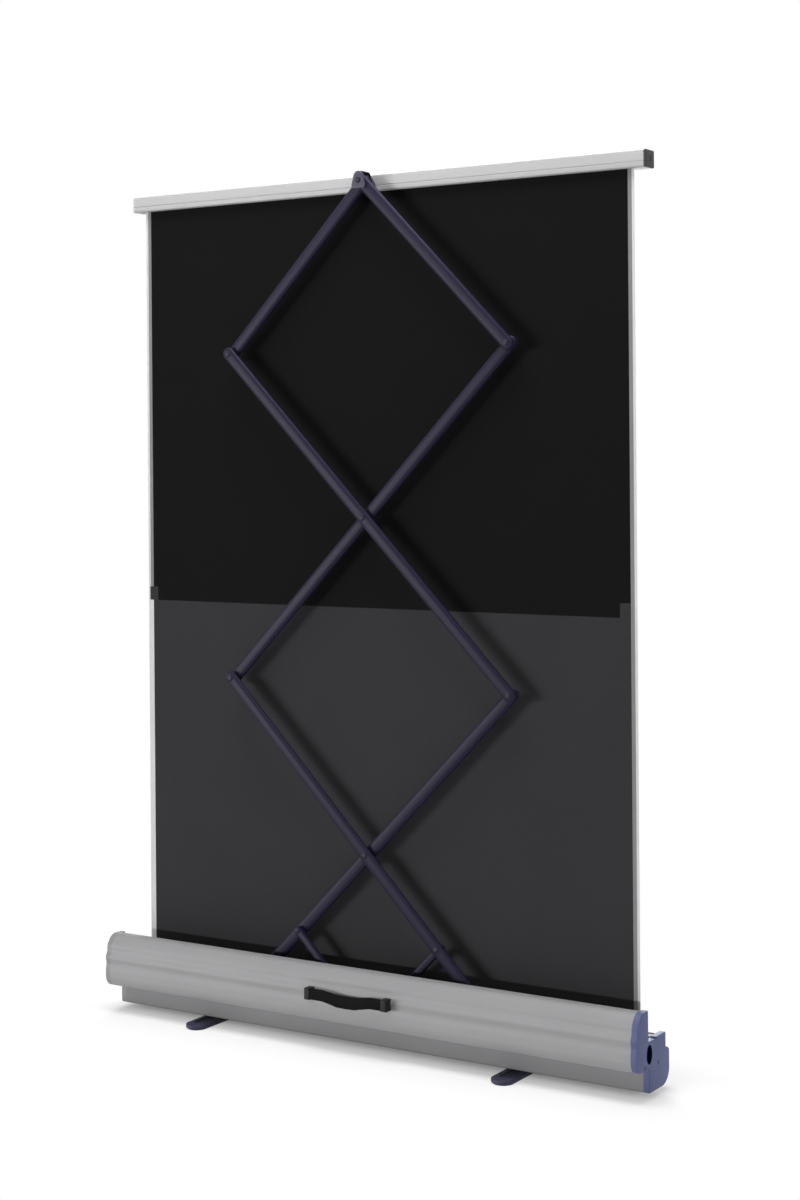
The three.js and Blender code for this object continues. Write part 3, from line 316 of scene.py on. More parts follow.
# End plates: injection moulded caps in plastic, blue-violet on the right and grey on the left,
# that close both ends of the extrusion. Each has a stepped top, a sunk oval and wells for two screws.
PLATE_OUTER = SHELL_HALF + 12.0
PLATE_FRONT = BELLY[0] - BELLY_RADIUS
PLATE_STEP = (-26.0, 76.0)
PLATE_TOP = 100.5
PLATE_NOTCH = (11.0, 43.0, 98.0)
PLATE_SHOULDER = (-36.5, 71.5)
SHOULDER_CORNER = 69.6
SHOULDER_END = 64.0
PLATE_RIM = (1.7, 2.4)
OVAL = (40.0, 77.0)
OVAL_RADII = (11.0, 17.0)
OVAL_DEPTH = 8.0
OVAL_RIM_DEPTH = 3.0
WELL_RADIUS = 3.55
WELL_DEPTH = 1.6
SCREW_SPOTS = ((4.6, 56.0), (57.4, 57.4))


def oval(cy, cz, ry, rz, steps=28):
    return arc(cy, cz, ry, rz, 0, 360, steps)[:-1]


def bend(a, b, c, steps):
    """Points of a smooth corner from a to c, drawn towards b."""
    spots = [i / steps for i in range(1, steps + 1)]
    return [((1 - t) ** 2 * a[0] + 2 * t * (1 - t) * b[0] + t * t * c[0],
             (1 - t) ** 2 * a[1] + 2 * t * (1 - t) * b[1] + t * t * c[1]) for t in spots]


notch_front, notch_rear, notch_floor = PLATE_NOTCH
plate_outline = (
    [(notch_front, PLATE_TOP), (PLATE_STEP[0], PLATE_TOP), PLATE_STEP, PLATE_SHOULDER]
    + bend(PLATE_SHOULDER, (PLATE_FRONT, SHOULDER_CORNER), (PLATE_FRONT, SHOULDER_END), 6)
    + arc(*BELLY, BELLY_RADIUS, BELLY_RADIUS, 180, 270, 16)
    + trough_corner
    + rear_side()
    + [(notch_rear, BOX_TOP), (notch_rear, notch_floor), (notch_front, notch_floor)]
)
PLATE_GRAIN = (900, 900, 900)
violet_plastic = surface("end_plate_violet", (0.083, 0.097, 0.2), 0.5, grain=PLATE_GRAIN, tone=0.06,
                         bump=0.16, spread=0.05, specular=0.2)
grey_plastic = surface("end_plate_grey", (0.2, 0.2, 0.205), 0.5, grain=PLATE_GRAIN, tone=0.05,
                       bump=0.16, spread=0.05, specular=0.3)
# The sunk oval is lined in dark navy: painted shade, for the shade deep inside the recess.
oval_painted_shade = surface("oval_hollow_painted_shade", (0.005, 0.007, 0.034), 0.7, grain=PLATE_GRAIN, tone=0.1, bump=0.1,
                      specular=0.02)
wells = [(oval(*OVAL, *OVAL_RADII), OVAL_DEPTH)]
wells += [(oval(y, z, WELL_RADIUS, WELL_RADIUS, 20), WELL_DEPTH) for y, z in SCREW_SPOTS]
for side, hand, finish, slot_name in ((1, "left", grey_plastic, "grey_plastic"),
                                      (-1, "right", violet_plastic, "violet_plastic")):
    plate = slab("end_cap_" + hand, plate_outline, SHELL_HALF, PLATE_OUTER,
                 lambda u, v, w, s=side: (s * w, u, v), high_edge=PLATE_RIM, steps=4, pockets=wells)
    fit(plate, finish, "housing", "end_plate_" + hand)
    # Faces deeper in the oval than its rim get the dark painted-shade lining.
    plate.data.materials.append(oval_painted_shade)
    for face in plate.data.polygons:
        spot = face.center / MM
        reach = [(spot[i + 1] - OVAL[i]) / (OVAL_RADII[i] + 0.2) for i in (0, 1)]
        if math.hypot(*reach) < 1 and abs(spot.x) < PLATE_OUTER - OVAL_RIM_DEPTH:
            face.material_index = 1


# Screws and small hardware: blackened steel pan heads, sunk in the wells of the end plates and
# driven into the screw ports of the extrusion. Rails, bracket, carriages and roller keep their solids.
SCREW_TIP = 557.4
SHANK_RADIUS = 1.9
SCREW_HEAD = 3.4
SCREW_HEAD_HEIGHT = 1.4
HEAD_GAP = 0.1
FINE_GRAIN = (700, 700, 700)
blackened = surface("blackened_screw", (0.05, 0.055, 0.09), 0.45, metallic=0.6, grain=FINE_GRAIN,
                    tone=0.08, bump=0.08)
zinc = surface("bright_zinc", (0.42, 0.43, 0.45), 0.32, metallic=0.95, grain=FINE_GRAIN, tone=0.08,
               bump=0.08)
moulded_black = surface("moulded_black", (0.011, 0.011, 0.012), 0.55, grain=FINE_GRAIN, tone=0.15,
                        bump=0.2, spread=0.08, specular=0.15)


def turn_about(name, profile, place, steps=28):
    """Solid of revolution; the profile is (radius, height) from bottom to top."""
    points = []
    faces = []
    count = len(profile)
    for i in range(steps):
        a = 2 * math.pi * i / steps
        points += [place(r * math.cos(a), r * math.sin(a), h) for r, h in profile]
    for i in range(steps):
        j = (i + 1) % steps
        for k in range(count - 1):
            faces.append((i * count + k, j * count + k, j * count + k + 1, i * count + k + 1))
    faces.append(tuple(i * count for i in range(steps))[::-1])
    faces.append(tuple(i * count + count - 1 for i in range(steps)))
    return build(name, points, faces, 32.0)


def dome(radius, low, height, steps=6):
    """Quarter round that ends in a small flat on the axis."""
    turns = [math.radians(90 * k / steps) for k in range(steps + 1)]
    return [(radius * max(math.cos(a), 0.06), low + height * math.sin(a)) for a in turns]


well_floor = PLATE_OUTER - WELL_DEPTH
screw_profile = [(SHANK_RADIUS, SCREW_TIP), (SHANK_RADIUS, well_floor)]
screw_profile += dome(SCREW_HEAD, well_floor + HEAD_GAP, SCREW_HEAD_HEIGHT)
for side, hand in ((1, "left"), (-1, "right")):
    for (y, z), tag in zip(SCREW_SPOTS, ("front", "rear")):
        head = turn_about("screw_head_%s_%s" % (hand, tag), screw_profile,
                          lambda u, v, w, s=side, y=y, z=z: (s * w, y + u, z + v), 20)
        fit(head, blackened, "housing", "end_screw_%s_%s" % (hand, tag))
for node in ("rail_left", "rail_right", "centre_bracket", "centre_pin", "foot_bolt_left", "foot_bolt_right",
             "roller_shaft", "roller_spring"):
    dress(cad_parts[node], zinc)
for node in ("carriage_left", "carriage_right", "roller_plug_left", "roller_plug_right",
             "roller_seat_left", "roller_seat_right"):
    dress(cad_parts[node], moulded_black)


# Scissor stand: pressed aluminium arms with rolled-over flanks, coated violet,
# two full stages and a half stage, with two short links at the base.
HALF_ARM = 442.0
PIVOT_Z = 44.0
OPEN_ANGLE = math.radians(45.5)
REACH = HALF_ARM * math.cos(OPEN_ANGLE)
RISE = HALF_ARM * math.sin(OPEN_ANGLE)
ARM_LAYER = {"front": 12.0, "rear": 23.4}
ARM_DEPTH = 11.0
ARM_WIDTH = 24.0
ARM_FLANK = 9.0
ARM_TAIL = 2.0
LINK_WIDTH = 14.0
LINK_FLANK = 2.5
FLANK_DEPTH = 4.2
violet_coat = surface("violet_coat", (0.0135, 0.0113, 0.026), 0.43, grain=(260, 260, 260), tone=0.1,
                      bump=0.1, spread=0.06, specular=0.08)


def level(x_share, steps_up):
    """Pivot point, counted in half arms from the foot of the stand."""
    return (REACH * x_share, PIVOT_Z + RISE * steps_up)


def stadium(a, b, width, tail_a, tail_b, steps=12):
    """Outline of a bar with round ends, which run past a and b by the tails."""
    along = (Vector(b) - Vector(a)).normalized()
    heading = math.degrees(math.atan2(along.y, along.x))
    far = Vector(b) + along * tail_b
    near = Vector(a) - along * tail_a
    r = width / 2
    return (arc(far.x, far.y, r, r, heading - 90, heading + 90, steps)
            + arc(near.x, near.y, r, r, heading + 90, heading + 270, steps))


def strut(node, low, high, layer, width=ARM_WIDTH, flank=ARM_FLANK, tails=(0, 0)):
    y = ARM_LAYER[layer]
    piece = slab(node + "_pressing", stadium(low, high, width, *tails), y, y + ARM_DEPTH,
                 lambda u, v, w: (u, w, v), low_edge=(flank, FLANK_DEPTH), high_edge=(flank, FLANK_DEPTH),
                 steps=6, crease=50.0)
    fit(piece, violet_coat, node, node)


strut("arm_a", level(1, 0), level(-1, 2), "front", tails=(0, ARM_TAIL))
strut("arm_b", level(-1, 0), level(1, 2), "rear", tails=(0, ARM_TAIL))
strut("arm_c", level(-1, 2), level(1, 4), "rear", tails=(ARM_TAIL, ARM_TAIL))
strut("arm_d", level(1, 2), level(-1, 4), "front", tails=(ARM_TAIL, ARM_TAIL))
strut("arm_e", level(1, 4), level(0, 5), "front", tails=(ARM_TAIL, 0))
strut("arm_f", level(-1, 4), level(0, 5), "rear", tails=(ARM_TAIL, 0))
strut("link_left", level(0, 0), level(0.5, 0.5), "rear", LINK_WIDTH, LINK_FLANK)
strut("link_right", level(0, 0), level(-0.5, 0.5), "front", LINK_WIDTH, LINK_FLANK)


# Pivot rivets: steel, flat head in front and a domed head behind, each fixed in
# one arm and turning in the other. The heads are dipped in the arms' colour.
RIVET_RADIUS = 4.0
RIVET_HEAD = 6.0
RIVET_RIM = 0.4
RIVET_DOME = 5.8
RIVET_DOME_HEIGHT = 1.7
FLAT_HEAD = 1.2
FLAT_HEAD_BEVEL = 0.6
STAND_FRONT = ARM_LAYER["front"]
STAND_REAR = ARM_LAYER["rear"] + ARM_DEPTH
LEFT_CARRIAGE_REAR = 30.2
RIGHT_CARRIAGE_FRONT = 16.2
dipped = surface("dipped_rivet", (0.018, 0.016, 0.03), 0.45, grain=(500, 500, 500), tone=0.1, bump=0.06,
                 specular=0.12)


def domed_head(rear):
    """Profile of a rivet's rear head, from its shank outwards and over the dome."""
    rim = rear + RIVET_RIM
    line = [(RIVET_RADIUS, rear), (RIVET_HEAD, rear), (RIVET_HEAD, rim)]
    return line + dome(RIVET_DOME, rim + HEAD_GAP, RIVET_DOME_HEIGHT)


def rivet(node, body, spot, front=STAND_FRONT, rear=STAND_REAR):
    x, z = spot
    low = front - FLAT_HEAD
    profile = [(0.4, low), (RIVET_HEAD - FLAT_HEAD_BEVEL, low), (RIVET_HEAD, low + 0.5)]
    profile += [(RIVET_HEAD, front), (RIVET_RADIUS, front)] + domed_head(rear)
    piece = turn_about(node + "_head", profile, lambda u, v, w: (x + u, w, z - v))
    fit(piece, dipped, body, node)


rivet("rivet_carriage_left", "arm_a", level(1, 0), rear=LEFT_CARRIAGE_REAR)
rivet("rivet_link_left", "arm_a", level(0.5, 0.5))
rivet("rivet_cross_low", "arm_a", level(0, 1))
rivet("rivet_carriage_right", "arm_b", level(-1, 0), front=RIGHT_CARRIAGE_FRONT)
rivet("rivet_link_right", "arm_b", level(-0.5, 0.5))
rivet("rivet_elbow_low_right", "arm_c", level(-1, 2))
rivet("rivet_cross_high", "arm_c", level(0, 3))
rivet("rivet_elbow_high_left", "arm_c", level(1, 4))
rivet("rivet_elbow_low_left", "arm_d", level(1, 2))
rivet("rivet_elbow_high_right", "arm_d", level(-1, 4))


# Top bar: hollow aluminium extrusion, anodised a shade lighter than the housing, with one
# groove along the rear face and a slot below for the cloth. Moulded caps close its ends.
APEX_Z = PIVOT_Z + 5 * RISE
BAR_DROP = 18.5
BAR_LOW = APEX_Z - BAR_DROP
BAR_HEIGHT = 31.0
BAR_FRONT = -34.0
BAR_REAR = 2.0
BAR_CORNER = 3.0
BAR_HALF = 568.0
CAP_OUTER = 572.0
CAP_RIM = (1.4, 1.4)
GROOVE_UP = 10.3
GROOVE_DEPTH = 0.8
SLOT_LIP = 1.6
SLOT_HEIGHT = 6.4
SLOT_MOUTH = (-9.0, -7.0)
SLOT_WALLS = (-11.2, -4.8)
CAP_DIMPLE = (-16.0, BAR_LOW + BAR_HEIGHT / 2)
DIMPLE_RADIUS = 6.0
DIMPLE_DEPTH = 0.8


def bar_outline(with_slot):
    """Section of the bar; the caps have the same one without the slot."""
    low, high, r = BAR_LOW, BAR_LOW + BAR_HEIGHT, BAR_CORNER
    line = arc(BAR_REAR - r, low + r, r, r, -90, 0, 5)
    groove = low + GROOVE_UP
    line += [(BAR_REAR, groove - GROOVE_DEPTH), (BAR_REAR - GROOVE_DEPTH, groove)]
    line += [(BAR_REAR, groove + GROOVE_DEPTH)]
    line += arc(BAR_REAR - r, high - r, r, r, 0, 90, 5)
    line += arc(BAR_FRONT + r, high - r, r, r, 90, 180, 5)
    line += arc(BAR_FRONT + r, low + r, r, r, 180, 270, 5)
    if with_slot:
        floor = low + SLOT_LIP
        roof = floor + SLOT_HEIGHT
        front_lip, rear_lip = SLOT_MOUTH
        front_wall, rear_wall = SLOT_WALLS
        line += [(front_lip, low), (front_lip, floor), (front_wall, floor), (front_wall, roof)]
        line += [(rear_wall, roof), (rear_wall, floor), (rear_lip, floor), (rear_lip, low)]
    return line


bar_metal = surface("bar_anodised", (0.345, 0.345, 0.35), 0.62, metallic=0.1, grain=DRAWN_GRAIN, tone=0.03,
                    bump=0.1, spread=0.07, specular=0.3)
pale_plastic = surface("pale_plastic", (0.42, 0.42, 0.43), 0.42, grain=FINE_GRAIN, tone=0.06, bump=0.14)
cap_grey = surface("cap_grey", (0.05, 0.05, 0.052), 0.5, grain=FINE_GRAIN, tone=0.1, bump=0.14,
                   specular=0.2)
bar = slab("top_bar_extrusion", bar_outline(True), -BAR_HALF, BAR_HALF, lambda u, v, w: (w, u, v),
           crease=EXTRUSION_CREASE)
fit(bar, bar_metal, "top_bar", "top_bar")
cap_dimple = (oval(*CAP_DIMPLE, DIMPLE_RADIUS, DIMPLE_RADIUS, 24), DIMPLE_DEPTH)
for side, hand, finish, slot_name in ((1, "left", pale_plastic, "grey_plastic"),
                                      (-1, "right", cap_grey, "black_plastic")):
    cap = slab("bar_cap_" + hand, bar_outline(False), BAR_HALF, CAP_OUTER,
               lambda u, v, w, s=side: (s * w, u, v), high_edge=CAP_RIM, pockets=[cap_dimple])
    fit(cap, finish, "top_bar", "top_bar_cap_" + hand)
dress(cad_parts["cloth_edge_rod"], pale_plastic)


# Apex saddle: moulded violet plastic, screwed to the rear of the top bar. A narrow web runs
# over the ends of both top arms to a cheek behind, which holds their pin.
SADDLE_LOW = APEX_Z - 16.5
SADDLE_HALF = 15.0
SADDLE_CORNER = 4.0
SADDLE_WAIST = APEX_Z - 8.0
CROWN = 11.0
CHEEK_TOP = APEX_Z + 16.5
CHEEK_FRONT = 35.9
CHEEK_REAR = 38.9
SADDLE_FOOT_TOP = APEX_Z + 9.5
SADDLE_FOOT_REAR = 6.0
CHEEK_FRONT_RIM = (0.6, 0.6)
CHEEK_RIM = (1.6, 1.4)
WEB_HALF = 7.4
WEB_RIM = (1.0, 1.6)
PIN_TIP = 4.0
WEB_SIDE = ((2.0, 4.0), (4.0, 4.0), (10.8, 13.4), (36.2, 13.4), (36.2, 16.2), (12.0, 15.9), (8.0, 13.6),
            (2.4, 7.6))


def saddle_outline(top):
    """Upright outline whose flanks lean in to a round crown."""
    inner = SADDLE_HALF - SADDLE_CORNER
    line = arc(inner, SADDLE_LOW + SADDLE_CORNER, SADDLE_CORNER, SADDLE_CORNER, -90, 0, 5)
    line += [(SADDLE_HALF, SADDLE_WAIST)] + arc(0.0, top - CROWN, CROWN, CROWN, 15, 165, 20)
    line += [(-SADDLE_HALF, SADDLE_WAIST)]
    return line + arc(-inner, SADDLE_LOW + SADDLE_CORNER, SADDLE_CORNER, SADDLE_CORNER, 180, 270, 5)


saddle_plastic = surface("saddle_plastic", (0.05, 0.045, 0.073), 0.45, grain=FINE_GRAIN, tone=0.08,
                         bump=0.14, specular=0.15)
cheek = slab("apex_saddle", saddle_outline(CHEEK_TOP), CHEEK_FRONT, CHEEK_REAR, lambda u, v, w: (u, w, v),
             low_edge=CHEEK_FRONT_RIM, high_edge=CHEEK_RIM, steps=4)
saddle_foot = slab("apex_saddle_foot", saddle_outline(SADDLE_FOOT_TOP), BAR_REAR, SADDLE_FOOT_REAR,
                   lambda u, v, w: (u, w, v), high_edge=CHEEK_RIM, steps=4)
web = slab("apex_saddle_web", [(y, APEX_Z + z) for y, z in WEB_SIDE], -WEB_HALF, WEB_HALF,
           lambda u, v, w: (w, u, v), low_edge=WEB_RIM, high_edge=WEB_RIM, steps=4)
fit(cheek, saddle_plastic, "top_bar", "apex_bracket")
fit(saddle_foot, saddle_plastic, "top_bar")
fit(web, saddle_plastic, "top_bar")
pin = turn_about("apex_pin_head", [(RIVET_RADIUS, PIN_TIP)] + domed_head(CHEEK_REAR),
                 lambda u, v, w: (u, w, APEX_Z - v))
fit(pin, dipped, "top_bar", "apex_pin")


# Screen cloth: coated fabric, black behind the picture and matt white in front of it, welded
# to a dark grey leader that winds on the roller. Pale woven tape runs down both edges, and
# a small hem of the leader is turned over the seam at each side.
CLOTH_Y = -8.0
ROLL_Z = 40.0
CLOTH_TOP = BAR_LOW + SLOT_LIP
OPEN_LENGTH = CLOTH_TOP - ROLL_Z
SEAM_Z = 818.0
CLOTH_HALF = 533.0
CLOTH_THICK = 0.36
CLOTH_RIPPLE = 0.12
TAPE_WIDTH = 12.5
SELVEDGE = 5.0
BORDER = 26.0
HEM_THICK = 0.3
HEMS = (("left", 521.5, 541.8, 27.0), ("right", -CLOTH_HALF, -512.0, 26.0))
CLOTH_GRID = (82, 40)
TAPE_GRID = (5, 80)
HEM_GRID = (3, 6)


def sheet_between(name, x0, x1, z0, z1, grid, thickness=CLOTH_THICK, ripple=CLOTH_RIPPLE, behind=0.0):
    """Thin two-sided cloth, faintly rippled, its middle in the cloth plane or that far behind it."""
    columns, rows = grid
    points = []
    faces = []
    for side in (-0.5, 0.5):
        for r in range(rows + 1):
            for c in range(columns + 1):
                x = x0 + (x1 - x0) * c / columns
                z = z0 + (z1 - z0) * r / rows
                loose = math.sin(math.pi * (z - ROLL_Z) / OPEN_LENGTH)
                broad = math.sin(x / 61.0 + z / 410.0)
                fine = 0.6 * math.sin(x / 23.0 - z / 290.0)
                points.append((x, CLOTH_Y + behind + side * thickness + ripple * loose * (broad + fine), z))
    across = columns + 1
    sheet = across * (rows + 1)
    for r in range(rows):
        for c in range(columns):
            a = r * across + c
            b = a + sheet
            faces.append((a, a + 1, a + across + 1, a + across))
            faces.append((b, b + across, b + across + 1, b + 1))
    loop = list(range(across)) + [r * across + columns for r in range(1, rows + 1)]
    loop += [rows * across + c for c in range(columns - 1, -1, -1)]
    loop += [r * across for r in range(rows - 1, 0, -1)]
    for a, b in zip(loop, loop[1:] + loop[:1]):
        faces.append((a, a + sheet, b + sheet, b))
    return build(name, points, faces, 40.0)


def cloth_finish(name, colour, roughness, specular, weave=1400.0, tone=0.06):
    """Coated weave: two crossed sets of threads under a thin dull coat."""
    material = surface(name, colour, roughness, grain=(90, 90, 90), tone=tone, bump=0.05, spread=0.05,
                       specular=specular)
    nodes = material.node_tree.nodes
    links = material.node_tree.links
    place = next(n for n in nodes if n.type == "TEX_COORD")
    relief = next(n for n in nodes if n.type == "BUMP")
    cross = nodes.new("ShaderNodeMath")
    cross.operation = "MAXIMUM"
    for direction, socket in zip(("X", "Z"), cross.inputs):
        threads = nodes.new("ShaderNodeTexWave")
        threads.bands_direction = direction
        threads.inputs["Scale"].default_value = weave
        threads.inputs["Distortion"].default_value = 1.5
        threads.inputs["Detail"].default_value = 1.0
        links.new(place.outputs["Object"], threads.inputs["Vector"])
        links.new(threads.outputs["Fac"], socket)
    fine = nodes.new("ShaderNodeBump")
    fine.inputs["Strength"].default_value = 0.12
    fine.inputs["Distance"].default_value = 0.0001
    links.new(cross.outputs[0], fine.inputs["Height"])
    links.new(relief.outputs["Normal"], fine.inputs["Normal"])
    links.new(fine.outputs["Normal"], nodes["Principled BSDF"].inputs["Normal"])
    return material


black_back = cloth_finish("black_backing", (0.0066, 0.0066, 0.007), 0.62, 0.01)
white_front = cloth_finish("white_picture_face", (0.78, 0.78, 0.77), 0.75, 0.2, tone=0.012)
grey_leader = cloth_finish("grey_leader_cloth", (0.029, 0.029, 0.031), 0.6, 0.02)
pale_tape = cloth_finish("pale_edge_tape", (0.52, 0.525, 0.52), 0.7, 0.1, weave=700.0)
grey_tape = cloth_finish("grey_edge_tape", (0.19, 0.19, 0.19), 0.7, 0.05, weave=700.0)
tape_edge = CLOTH_HALF + TAPE_WIDTH
panel = sheet_between("screen_panel", -CLOTH_HALF, CLOTH_HALF, SEAM_Z, CLOTH_TOP, CLOTH_GRID)
leader = sheet_between("screen_leader", -CLOTH_HALF, CLOTH_HALF, ROLL_Z, SEAM_Z, CLOTH_GRID)
tapes = [sheet_between("edge_tape_" + hand, x0, x1, ROLL_Z, CLOTH_TOP, TAPE_GRID, ripple=0.0)
         for hand, x0, x1 in (("left", CLOTH_HALF, tape_edge), ("right", -tape_edge, -CLOTH_HALF))]
hems = [sheet_between("seam_hem_" + hand, x0, x1, SEAM_Z, SEAM_Z + height, HEM_GRID, HEM_THICK,
                      behind=CLOTH_THICK) for hand, x0, x1, height in HEMS]
fit(panel, black_back, "housing", "cloth_panel")
fit(leader, grey_leader, "housing", "cloth_leader")
for tape, hand in zip(tapes, ("left", "right")):
    fit(tape, grey_tape, "housing", "cloth_edge_" + hand)
for hem in hems:
    fit(hem, grey_leader, "housing")
panel.data.materials.append(white_front)
for face in panel.data.polygons:
    spot = face.center / MM
    inside = abs(spot.x) < CLOTH_HALF - BORDER and SEAM_Z + BORDER < spot.z < CLOTH_TOP - BORDER
    if inside and face.normal.y < -0.5:
        face.material_index = 1
for tape in tapes:
    tape.data.materials.append(pale_tape)
    for face in tape.data.polygons:
        spot = face.center / MM
        if abs(spot.x) > tape_edge - SELVEDGE or (spot.x > 0 and spot.z < SEAM_Z):
            face.material_index = 1
for piece in [panel, leader] + tapes + hems:
    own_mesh(piece)
dress(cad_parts["leader_wrap"], grey_leader)
dress(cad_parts["roller_tube"], anodised)


# Carrying handle: soft black plastic strap moulded round a steel band, ribbed and a little
# taller in the middle. Its square ends hang on stub pins between two moulded lugs, which are
# fixed to the rear of the housing.
GRIP_Y = 100.0
GRIP_PIVOT_Z = 106.0
GRIP_HALF_SPAN = 78.0
GRIP_END = 20.0
GRIP_SAG = 6.0
GRIP_HALF_HEIGHT = 10.0
GRIP_HALF_THICK = 5.5
GRIP_SWELL = 1.5
GRIP_BEND = 46.0
GRIP_STATIONS = 60
END_SHARE = 0.86
END_ROUNDING = 3.0
RIB_PITCH = 3.0
RIB_DEPTH = 0.35
RIBBED_HALF = 42.0
STUB_RADIUS = 3.0
STUB_SPAN = (GRIP_HALF_SPAN - 3.5, GRIP_HALF_SPAN + 6.1)
LUG_MIDDLE = GRIP_HALF_SPAN + 6.4
LUG_FOOT = 85.8
LUG_TOP = 105.9
LUG_HALF = 6.0
LUG_LOW = 95.5
LUG_HIGH = 116.5
LUG_RIM = (2.0, 2.0)


def strap(name, stations):
    """Swept band along X; each station is (x, centre height, half height, half thickness)."""
    squareness = 0.55
    ring = [math.radians(22.5 * (k + 0.5)) for k in range(16)]
    count = len(ring)
    points = []
    faces = []
    for x, z, tall, thick in stations:
        for a in ring:
            c, s = math.cos(a), math.sin(a)
            points.append((x, GRIP_Y + thick * math.copysign(abs(c) ** squareness, c),
                           z + tall * math.copysign(abs(s) ** squareness, s)))
    for r in range(len(stations) - 1):
        for i in range(count):
            j = (i + 1) % count
            faces.append((r * count + i, r * count + j, (r + 1) * count + j, (r + 1) * count + i))
    faces.append(tuple(range(count))[::-1])
    faces.append(tuple(range((len(stations) - 1) * count, len(stations) * count)))
    return build(name, points, faces, 50.0)


def ease(t):
    t = max(0.0, min(1.0, t))
    return t * t * (3 - 2 * t)


def grip_station(x):
    """One cross-section of the strap: sagging and taller in the middle, closed in at the ends."""
    out = abs(x)
    bowed = ease((GRIP_HALF_SPAN - GRIP_END - out) / GRIP_BEND)
    closing = END_SHARE + (1 - END_SHARE) * ease((GRIP_HALF_SPAN - out) / END_ROUNDING)
    rib = RIB_DEPTH * math.sin(out * math.pi / RIB_PITCH) ** 2 if out < RIBBED_HALF else 0.0
    tall = GRIP_HALF_HEIGHT + GRIP_SWELL * bowed
    return (x, GRIP_PIVOT_Z - GRIP_SAG * bowed, (tall - rib) * closing, (GRIP_HALF_THICK - rib) * closing)


places = [-GRIP_HALF_SPAN + 2 * GRIP_HALF_SPAN * i / GRIP_STATIONS for i in range(GRIP_STATIONS + 1)]
grip = strap("carrying_grip", [grip_station(x) for x in places])
grip_rubber = surface("grip_black", (0.006, 0.006, 0.0065), 0.65, grain=(1100, 1100, 1100), tone=0.15,
                      bump=0.3, spread=0.08, specular=0.03)
fit(grip, grip_rubber, "handle", "handle_grip")
stub_profile = [(STUB_RADIUS, STUB_SPAN[0]), (STUB_RADIUS, STUB_SPAN[1]), (2.4, STUB_SPAN[1] + 0.9)]
lug_face = [(LUG_MIDDLE - LUG_HALF, LUG_LOW), (LUG_MIDDLE + LUG_HALF, LUG_LOW),
            (LUG_MIDDLE + LUG_HALF, LUG_HIGH), (LUG_MIDDLE - LUG_HALF, LUG_HIGH)]
for side, hand in ((1, "left"), (-1, "right")):
    stub = turn_about("grip_stub_" + hand, stub_profile,
                      lambda u, v, w, s=side: (s * w, GRIP_Y + u, GRIP_PIVOT_Z + v), 20)
    fit(stub, zinc, "handle")
    lug = slab("grip_lug_" + hand, lug_face, LUG_FOOT, LUG_TOP, lambda u, v, w, s=side: (s * u, w, v),
               high_edge=LUG_RIM, steps=4)
    fit(lug, moulded_black, "housing", "handle_lug_" + hand)


# Feet: two flat bars of moulded navy nylon with rounded ends and two sunk pockets, bolted
# under the housing so that they swing out crosswise. Each has a thin rubber sole.
FEET = ((357.0, "left"), (-323.0, "right"))
FOOT_WIDTH = 44.0
FOOT_REACH = 85.0
FOOT_LOW = 2.0
FOOT_HIGH = 9.2
FOOT_LOW_RIM = (1.0, 1.0)
FOOT_HIGH_RIM = (2.2, 1.8)
POCKET_WIDTH = 20.0
POCKET_SPAN = (42.0, 78.0)
POCKET_DEPTH = 1.4
navy_nylon = surface("navy_nylon", (0.03, 0.03, 0.06), 0.5, grain=(600, 600, 600), tone=0.1, bump=0.18,
                     specular=0.2)
sole_rubber = surface("sole_rubber", (0.02, 0.02, 0.02), 0.8, grain=(500, 500, 500), tone=0.15, bump=0.3)
for x, hand in FEET:
    outline = stadium((x, -FOOT_REACH), (x, FOOT_REACH), FOOT_WIDTH, 0, 0, 16)
    near, far = POCKET_SPAN
    pockets = [(stadium((x, s * near), (x, s * far), POCKET_WIDTH, 0, 0, 10), POCKET_DEPTH)
               for s in (-1, 1)]
    foot = slab("foot_bar_" + hand, outline, FOOT_LOW, FOOT_HIGH, lambda u, v, w: (u, v, w),
                low_edge=FOOT_LOW_RIM, high_edge=FOOT_HIGH_RIM, steps=4, pockets=pockets)
    fit(foot, navy_nylon, "foot_" + hand, "foot_" + hand)
    dress(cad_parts["foot_sole_" + hand], sole_rubber)


# Studio: pale floor that fades to white round the object, one wide low lamp far off on the
# camera's left, one overhead, small ones at the right end and in front, and weak light all
# round. Lengths are in metres from here on.
FLOOR_HALF = 14.4
FOOTPRINT = (0.54, 0.003, 0.0)
FOOTPRINT_MIDDLE = (0.0, -0.005, 0.0)
WHITE_FROM = 0.185
FADE_POWER = 0.7
ALL_ROUND_LIGHT = 0.11


def white_rays(tree):
    """One for what the camera, a gloss or a clear piece sees, nought for light that falls on things."""
    rays = tree.nodes.new("ShaderNodeLightPath")
    seen = rays.outputs["Is Camera Ray"]
    for kind in ("Is Glossy Ray", "Is Transmission Ray"):
        either = tree.nodes.new("ShaderNodeMath")
        either.operation = "MAXIMUM"
        tree.links.new(seen, either.inputs[0])
        tree.links.new(rays.outputs[kind], either.inputs[1])
        seen = either.outputs[0]
    return seen


